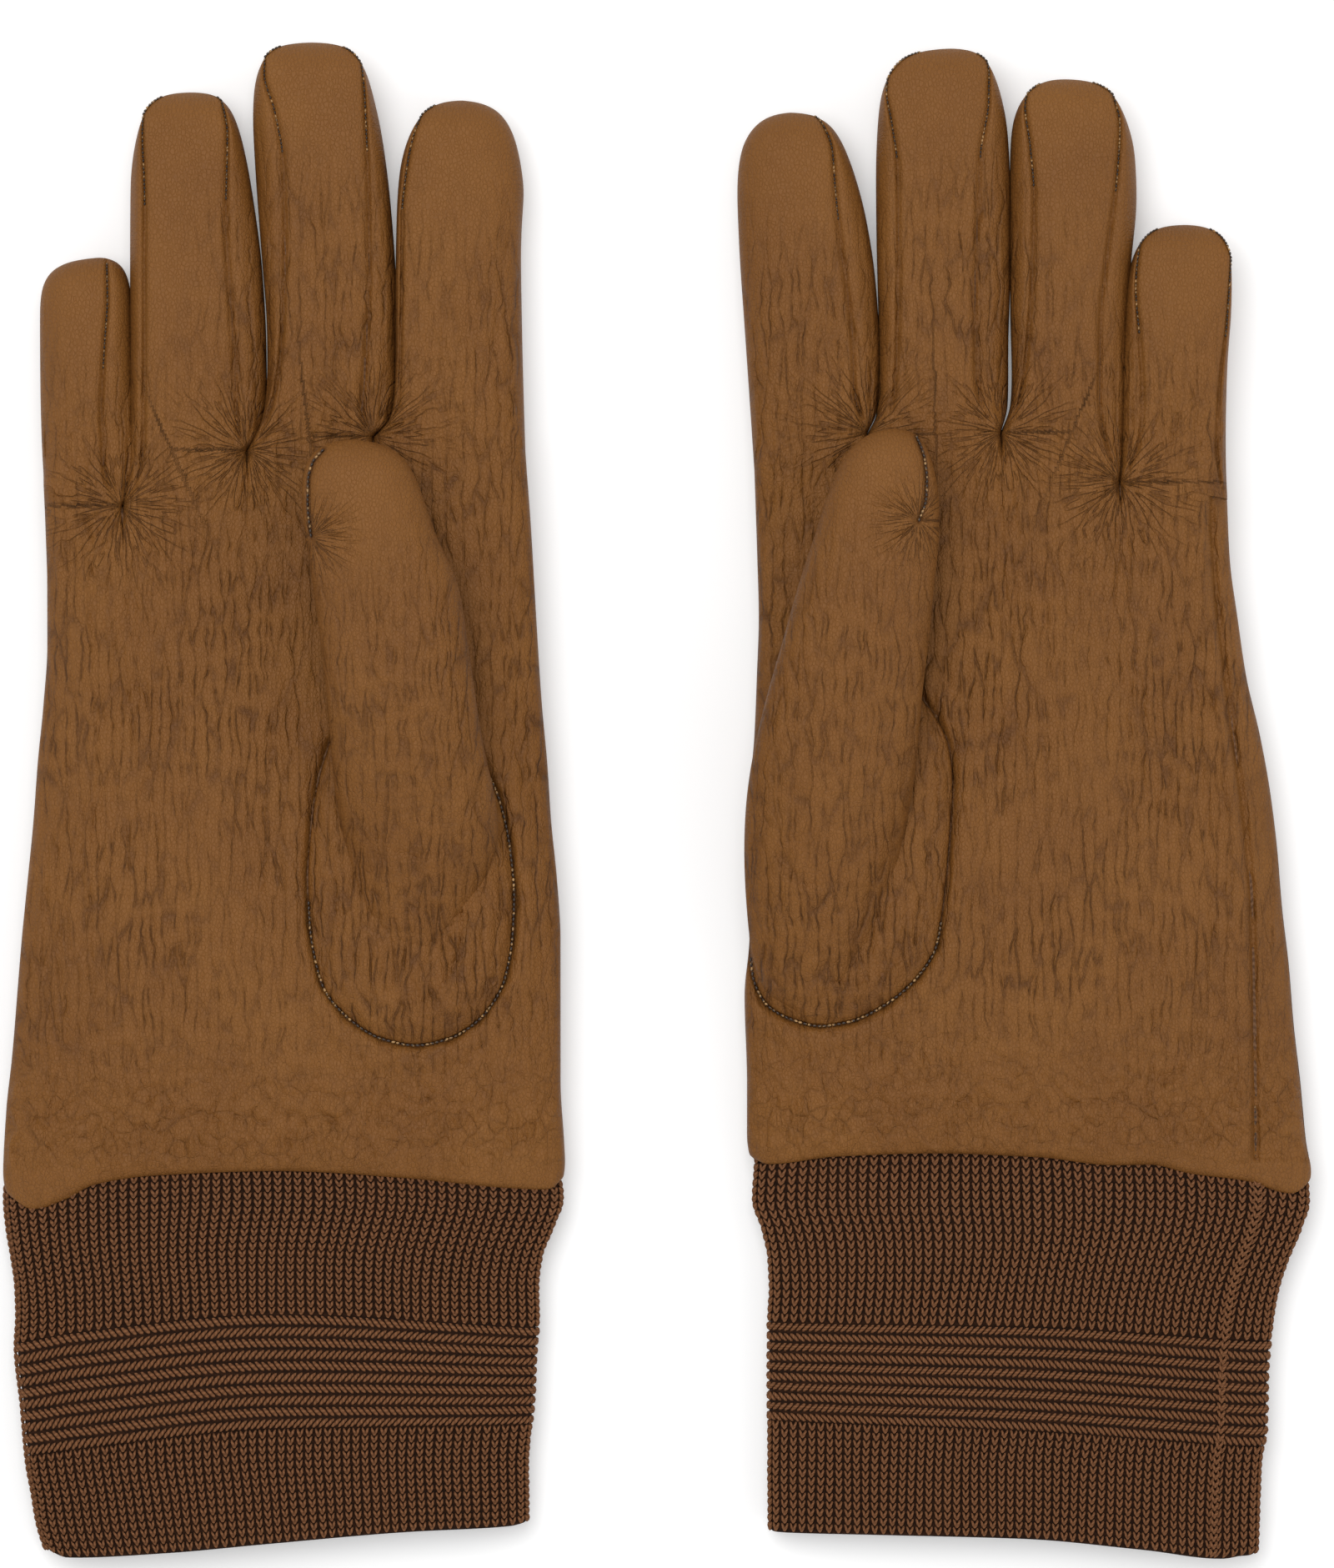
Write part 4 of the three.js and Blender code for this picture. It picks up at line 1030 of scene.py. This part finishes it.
def thumb_relief(hand):
    """The thumb's folds and the gathers where its stitches end, with the values that its leather reads."""
    seed = hand["seed"] + 100
    tip_x, tip_y = hand["thumb_low"][-1]
    pull_x, pull_y = hand["thumb_stitch"][-1]

    def calmness(x, y):
        return np.clip((np.hypot(x - tip_x, (y - tip_y) * 0.8) - 10) / 26, 0, 1)

    def relief(x, y):
        warp = 1.2 * noise(x / 7, y / 9, seed + 1)
        calm = calmness(x, y)
        lift = 0.28 * noise(x / 12, y / 18, seed + 2) * calm
        lift = lift - 0.24 * fold_lines((x + 0.25 * y + warp) / 3.4, y / 13, seed + 3, 0.22) * calm
        lift = lift - 0.17 * fold_lines((x + warp) / 9, (y + warp) / 3.2, seed + 4, 0.20) * calm
        foot = np.clip((74 - y) / 30, 0, 1)
        lift = lift - 0.34 * fold_lines((x + warp) / 2.6, (y + 0.3 * x) / 10, seed + 5, 0.22) * foot
        r = np.hypot(x - pull_x, y - pull_y)
        turn = np.arctan2(y - pull_y, x - pull_x)
        strength = np.exp(-((r / 9) ** 2)) * np.clip(r / 2, 0, 1)
        return lift + 1.0 * noise(turn * 3.6 + 20, r / 12, seed + 6) * strength

    def facts(x, y, z):
        r = np.hypot(x - pull_x, y - pull_y)
        turn = np.arctan2(y - pull_y, x - pull_x)
        gather = np.exp(-((r / 8) ** 2)) * np.clip((r - 0.5) / 2, 0, 1)
        spokes = np.stack([turn * 5.0, r / 8, 0 * r], -1)
        # sunk marks the stitch groove, which the leather's colour darkens as painted shade.
        away = near(x, y, hand["thumb_stitch"])
        sunk = np.exp(-((away / 0.5) ** 2)) * (z > 18)
        foot = np.clip((74 - y) / 30, 0, 1)
        creasing = np.clip(0.85 * calmness(x, y) + 0.3 * foot, 0, 1.1)
        return dict(pucker=spokes, sunk=sunk, creasing=creasing, gather=gather)

    return relief, facts


def build_thumb(hand):
    """The thumb's stall and lining, the quirk it grows from, and its stitches."""
    side = hand["side"]
    relief, facts = thumb_relief(hand)
    stall = shaped_grid(
        hand, side + "_thumb_stall", THUMB_TOP_COLUMNS + THUMB_UNDER_COLUMNS, THUMB_ROWS,
        lambda u, v: thumb_surface(hand, u, v), LEATHER, relief, facts=facts,
    )
    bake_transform(stall)
    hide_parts(side + "_thumb_leather")
    lining = shaped_grid(
        hand, side + "_thumb_lining_knit", 36, 60,
        lambda u, v: thumb_surface(hand, u, v, THUMB_LINING_INSET), LINING,
    )
    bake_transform(lining)
    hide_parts(side + "_thumb_lining")
    build_quirk(hand, relief, facts)
    sew_thumb_tip(hand)


def build_quirk(hand, relief, facts):
    """The quirk: the pillowed oval of leather that carries the thumb, sunk into the palm along its seam."""
    side = hand["side"]
    rim = hand["oval"] + hand["oval"][:1]
    centre = np.array(hand["oval"], float).mean(0)
    puffed = 0.72

    def pillow(u, v):
        rx, ry = along(rim, u)
        ring = np.where(v < puffed, v / puffed, 1 - (v - puffed) / (1 - puffed))
        x, y = centre[0] + (rx - centre[0]) * ring, centre[1] + (ry - centre[1]) * ring
        ground = palm_top(hand, x, y)
        edge = np.hypot(rx - centre[0], ry - centre[1]) * (1 - ring)
        puff = 4.4 * (1 - np.exp(-((edge / 4.6) ** 0.9)))
        return x, y, np.where(v < puffed, ground - 0.9 + puff, ground - 2.2)

    base = shaped_grid(hand, side + "_thumb_quirk", 260, 96, pillow, LEATHER, relief, facts=facts)
    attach(base, side + "_hand")
    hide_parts(side + "_thumb_base")

    x, y = along(rim, np.linspace(*hand["oval_sewn"], 240) / (len(rim) - 1))
    z = palm_top(hand, x, y) - 0.20
    sewn = stitches(hand, side + "_oval_stitches", [np.stack([x, y, z], -1)], 1.0, 0.46, 0.26)
    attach(sewn, side + "_hand")
    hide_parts(side + "_thumb_oval_thread")


def sew_thumb_tip(hand):
    """The stitches beside the thumb's tip, on the side that lies over the palm."""
    side = hand["side"]
    x, y = along(hand["thumb_stitch"], np.linspace(0, 1, 60))
    v = np.linspace(0, 1, 500)
    x0, y0, x1, y1 = edge_rows(hand, hand["thumb_low"], hand["thumb_high"], v)
    row = np.interp(y, (y0 + y1) / 2, v)
    middle, half = np.interp(row, v, (x0 + x1) / 2), np.interp(row, v, (x1 - x0) / 2)
    local = np.clip((x - middle) / half, -0.97, 0.97)
    column = np.arccos(-local) / np.pi * THUMB_TOP_COLUMNS
    x, y, z = thumb_surface(hand, column / (THUMB_TOP_COLUMNS + THUMB_UNDER_COLUMNS), row)
    sewn = stitches(hand, side + "_thumb_stitches", [np.stack([x, y, z + 0.62], -1)], 0.90, 0.42, 0.25)
    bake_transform(sewn)
    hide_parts(side + "_thumb_seam_thread")


def cuff_ring():
    """One round of the flat cuff, by equal lengths: across, up and the way outwards."""
    a = np.linspace(math.pi, -math.pi, 4001)
    c, s = np.cos(a), np.sin(a)
    x = np.sign(c) * np.abs(c) ** (2 / 3) * 52
    z = np.sign(s) * np.abs(s) ** (2 / 3) * 6.1
    run = np.concatenate([[0], np.cumsum(np.hypot(np.diff(x), np.diff(z)))])
    run /= run[-1]
    at = np.linspace(0, 1, 2401)
    x, z = np.interp(at, run, x), np.interp(at, run, z)
    nx, nz = -np.gradient(z), np.gradient(x)
    size = np.hypot(nx, nz) + 1e-12
    return at, x / 52, z / 6.1, nx / size, nz / size


RING = cuff_ring()


def cuff_place(hand, around, y, out):
    """A point on the cuff, by the share around from the little-finger edge, the height and the way out."""
    at, rx, rz, nx, nz = RING
    around = around % 1.0
    cx, cz, ox, oz = (np.interp(around, at, k) for k in (rx, rz, nx, nz))
    low, high = smooth(hand["cuff_low"], y), smooth(hand["cuff_high"], y)
    deep = smooth(CUFF_DEPTH, y)
    x = (low + high) / 2 + cx * (high - low) / 2 + ox * out
    return x, y, CUFF_MIDDLE + cz * deep + oz * out


def cuff_levels(hand, around):
    """The heights where the ribs start, the cross-knit band begins and ends, and the cuff stops."""
    at, rx = RING[0], RING[1]
    x = 51 * np.interp(around % 1.0, at, rx)
    hem = smooth(hand["hem"], x)
    bottom = smooth(hand["cuff_bottom"], x * 0.96)
    return hem + 4.5, smooth(hand["band_top"], x), smooth(hand["band_bottom"], x), bottom + 0.9


def leg(bm, x, y, lean, long, wide, thick):
    """One leg of a knitted stitch."""
    layer = bm.verts.layers.float_vector.get("yarn") or bm.verts.layers.float_vector.new("yarn")
    made = bmesh.ops.create_uvsphere(bm, u_segments=5, v_segments=4, radius=1.0)["verts"]
    for vert in made:
        vert.co = Vector((vert.co.x * wide, vert.co.z * long, vert.co.y * thick))
        vert[layer] = vert.co
    turn = Matrix.Translation((x, y, 0)) @ Matrix.Rotation(lean, 4, "Z")
    bmesh.ops.transform(bm, matrix=turn, verts=made)


def repeated(name, legs, across, down, pitch_x, pitch_y):
    """A flat field of one stitch, repeated across and down with arrays."""
    bm = bmesh.new()
    for one in legs:
        leg(bm, *one)
    mesh = bpy.data.meshes.new(name)
    bm.to_mesh(mesh)
    bm.free()
    thing = new_object(name, mesh, YARN)
    for count, offset in ((across, (pitch_x, 0, 0)), (down, (0, -pitch_y, 0))):
        array = thing.modifiers.new("rows", "ARRAY")
        array.count = count
        array.use_relative_offset = False
        array.use_constant_offset = True
        array.constant_offset_displace = offset
    view = bpy.context.evaluated_depsgraph_get()
    baked = bpy.data.meshes.new_from_object(thing.evaluated_get(view))
    bpy.data.objects.remove(thing)
    return baked


def join(name, meshes):
    """Several meshes in one object."""
    bm = bmesh.new()
    for mesh in meshes:
        bm.from_mesh(mesh)
    mesh = bpy.data.meshes.new(name)
    bm.to_mesh(mesh)
    bm.free()
    return new_object(name, mesh, YARN)


def knit_onto(hand, mesh, first, span, wide, level, height, seed, lift=0.35):
    """Wraps a flat field of stitches round the cuff between two of its levels."""
    co = np.zeros(len(mesh.vertices) * 3)
    mesh.vertices.foreach_get("co", co)
    a, b, c = co.reshape(-1, 3).T
    around = first + span * a / wide
    levels = cuff_levels(hand, around)
    share = -b / height
    y = levels[level] + (levels[level + 1] - levels[level]) * share
    sway = 0.22 * noise(a / 9, b / 14, seed) + 0.10 * noise(a / 2.3, b / 2.0, seed + 1)
    out = c + lift + 0.08 * noise(a / 1.9, b / 1.5, seed + 2)
    y = y + 0.10 * noise(a / 2.1, b / 2.6, seed + 3)
    x, y, z = cuff_place(hand, around + sway / CUFF_ROUND, y, out)
    mesh.vertices.foreach_set("co", to_room(hand, x, y, z).ravel())
    mesh.update()
    return mesh


def knit_stitches(hand, first, half, seed):
    """The stitches of one half of a cuff: two ribbed parts with the cross-knit band between them."""
    wide = CUFF_ROUND / 2
    in_rib = WALE_PITCH / 2
    rib = [
        (-0.34 + in_rib, -0.76, 0.40, 0.98, 0.33, 0.46),
        (0.34 + in_rib, -0.76, -0.40, 0.98, 0.33, 0.46),
    ]
    parts = []
    for level, rows in ((0, UPPER_RIB_ROWS), (2, LOWER_RIB_ROWS)):
        flat = repeated("ribs", rib, WALES // 2, rows, WALE_PITCH, COURSE_PITCH)
        parts.append(knit_onto(hand, flat, first, 0.5, wide, level, rows * COURSE_PITCH, seed))
    slant = [(0.67, -1.05, 0.85, 1.32, 0.42, 0.52), (0.67, -3.15, -0.85, 1.32, 0.42, 0.52)]
    flat = repeated("band", slant, BAND_COLUMNS, BAND_ROWS, wide / BAND_COLUMNS, BAND_PITCH)
    parts.append(knit_onto(hand, flat, first, 0.5, wide, 1, BAND_ROWS * BAND_PITCH, seed + 7, 0.45))
    knit = join(hand["side"] + "_cuff_" + half + "_stitches", parts)
    if hand["turn"] < 0:
        bm = bmesh.new()
        bm.from_mesh(knit.data)
        bmesh.ops.recalc_face_normals(bm, faces=bm.faces)
        bm.to_mesh(knit.data)
        bm.free()
    return knit


def cuff_ground(hand):
    """The knit between and behind the stitches, down the outside and up the inside of the cuff, coloured dark
    as painted shade.
    """

    def ground(u, v):
        top, upper, lower, bottom = cuff_levels(hand, u)
        fall = np.clip(v / CUFF_TURN, 0, 1)
        turn = np.clip((v - CUFF_TURN) / 0.08, 0, 1)
        back_up = np.clip((v - 0.70) / 0.30, 0, 1)
        inside = bottom + 0.1 - 0.5 * np.sin(np.pi * turn) + (top - bottom) * back_up
        y = np.where(v > CUFF_TURN, inside, top + 2 + (bottom - top - 1.9) * fall)
        band = np.clip((upper - y) / 1.5, 0, 1) * np.clip((y - lower) / 1.5, 0, 1) * (v < CUFF_TURN)
        out = 0.35 * band - 1.9 * (0.5 - 0.5 * np.cos(np.pi * turn))
        return cuff_place(hand, u, y, out)

    return shaped_grid(hand, hand["side"] + "_cuff_ground_painted_shade", int(CUFF_ROUND), 110, ground, GROUND)


def linking_seam(hand):
    """The cuff is linked up its little-finger side with one chain of wider stitches."""
    at, rx = RING[0], RING[1]
    half = at <= 0.5
    spot = float(np.interp(hand["cuff_join"] / 52, rx[half], at[half]))
    link = [(-0.34, -0.75, 0.55, 1.05, 0.36, 0.42), (0.34, -0.75, -0.55, 1.05, 0.36, 0.42)]
    flat = repeated("chain", link, 1, CHAIN_LINKS, 1.0, CHAIN_PITCH)
    co = np.zeros(len(flat.vertices) * 3)
    flat.vertices.foreach_get("co", co)
    a, b, c = co.reshape(-1, 3).T
    around = spot + a / CUFF_ROUND
    levels = cuff_levels(hand, around)
    y = levels[0] + (levels[3] - levels[0]) * (-b / (CHAIN_LINKS * CHAIN_PITCH))
    x, y, z = cuff_place(hand, around, y, c + 0.85)
    flat.vertices.foreach_set("co", to_room(hand, x, y, z).ravel())
    return join(hand["side"] + "_cuff_linking_seam", [flat])


def build_cuff(hand):
    """The knitted cuff: its stitches, the ground behind them and its linked seam."""
    side, seed = hand["side"], hand["seed"] + 200
    for k, half in enumerate(("front", "back")):
        knit = knit_stitches(hand, 0.5 * k, half, seed + k)
        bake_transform(knit)
        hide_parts(side + "_knit_cuff")

    base = cuff_ground(hand)
    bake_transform(base)
    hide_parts(side + "_knit_cuff")

    seam = linking_seam(hand)
    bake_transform(seam)
    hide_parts(side + "_cuff_seam")


def build_side_seam(hand):
    """The long seam up the little-finger side of the hand."""
    y = np.linspace(2, 134, 300)
    low, high = palm_edges(hand, y)
    lines = []
    if hand["side_seam"]:
        # Only its lowest stitches show; the rest lie closed in the seam.
        x = smooth(hand["side_seam"], y)
        share = 2 * (x - low) / (high - low) - 1
        z = palm_height(share, y, 1) - 1.35
        lines.append(np.stack([x, y, z], -1)[:30])
    edge = np.stack([low + 0.12, y, smooth(PALM_DEPTH, y) * 0.99 - 1.5], -1)
    lines.append(edge[::2])
    sewn = stitches(hand, hand["side"] + "_side_seam_stitches", lines, 1.1, 0.34, 0.16)
    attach(sewn, hand["side"] + "_hand")
    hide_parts(hand["side"] + "_side_seam_thread")


for glove in (RIGHT, LEFT):
    build_hand(glove)
    for one_finger in glove["fingers"]:
        build_finger(glove, one_finger)
    build_thumb(glove)
    build_cuff(glove)
    build_side_seam(glove)


def soft_light(name, place, aim, size, power):
    """A round soft lamp."""
    lamp = bpy.data.lights.new(name, "AREA")
    lamp.shape, lamp.size, lamp.energy = "DISK", size, power
    thing = bpy.data.objects.new(name, lamp)
    thing.location = place
    thing.rotation_euler = (Vector(aim) - Vector(place)).to_track_quat("-Z", "Y").to_euler()
    bpy.context.scene.collection.objects.link(thing)


def table_top():
    """The white table, which looks plain white and still takes a soft shadow."""
    bm = bmesh.new()
    bmesh.ops.create_grid(bm, x_segments=1, y_segments=1, size=3.0)
    mesh = bpy.data.meshes.new("table_top")
    bm.to_mesh(mesh)
    bm.free()
    material, tree, shader = tree_of("white_table")
    shader.inputs["Base Color"].default_value = (0.88, 0.88, 0.88, 1)
    shader.inputs["Roughness"].default_value = 0.9
    shader.inputs["Specular IOR Level"].default_value = 0.1
    path = step(tree, "LightPath")
    glow = step(tree, "Emission", [("Strength", sums(tree, "MULTIPLY", path.outputs["Is Camera Ray"], 0.22))])
    both = step(tree, "AddShader", [(0, shader.outputs[0]), (1, glow.outputs[0])])
    tree.links.new(both.outputs[0], tree.nodes["Material Output"].inputs["Surface"])
    floor = new_object("table_top", mesh, material)
    floor.location.z = -0.0006


def white_room():
    """An even white surrounding."""
    world = bpy.data.worlds.new("white_room")
    bpy.context.scene.world = world
    world.use_nodes = True
    tree = world.node_tree
    path = step(tree, "LightPath")
    seen = sums(tree, "MAXIMUM", path.outputs["Is Camera Ray"], path.outputs["Is Glossy Ray"])
    power = sums(tree, "MULTIPLY_ADD", seen, 0.45, 0.55)
    tree.nodes["Background"].inputs["Color"].default_value = (1, 1, 1, 1)
    tree.links.new(power, tree.nodes["Background"].inputs["Strength"])


def camera_above():
    """A long lens straight above the pair."""
    lens = bpy.data.cameras.new("camera")
    lens.lens, lens.sensor_width = 200.0, 36.0
    lens.clip_end = 20
    camera = bpy.data.objects.new("camera", lens)
    camera.location = (0.00199, 0.00237, 0.009 + 0.31977 / (36 / 200))
    bpy.context.scene.collection.objects.link(camera)
    bpy.context.scene.camera = camera


table_top()
white_room()
camera_above()
soft_light("overhead_softbox", (-0.25, 0.35, 1.5), (0, 0, 0), 1.1, 13.6)
soft_light("side_fill", (1.2, -0.4, 1.0), (0, 0, 0), 1.0, 3.0)
bpy.context.scene.view_settings.view_transform = "Standard"
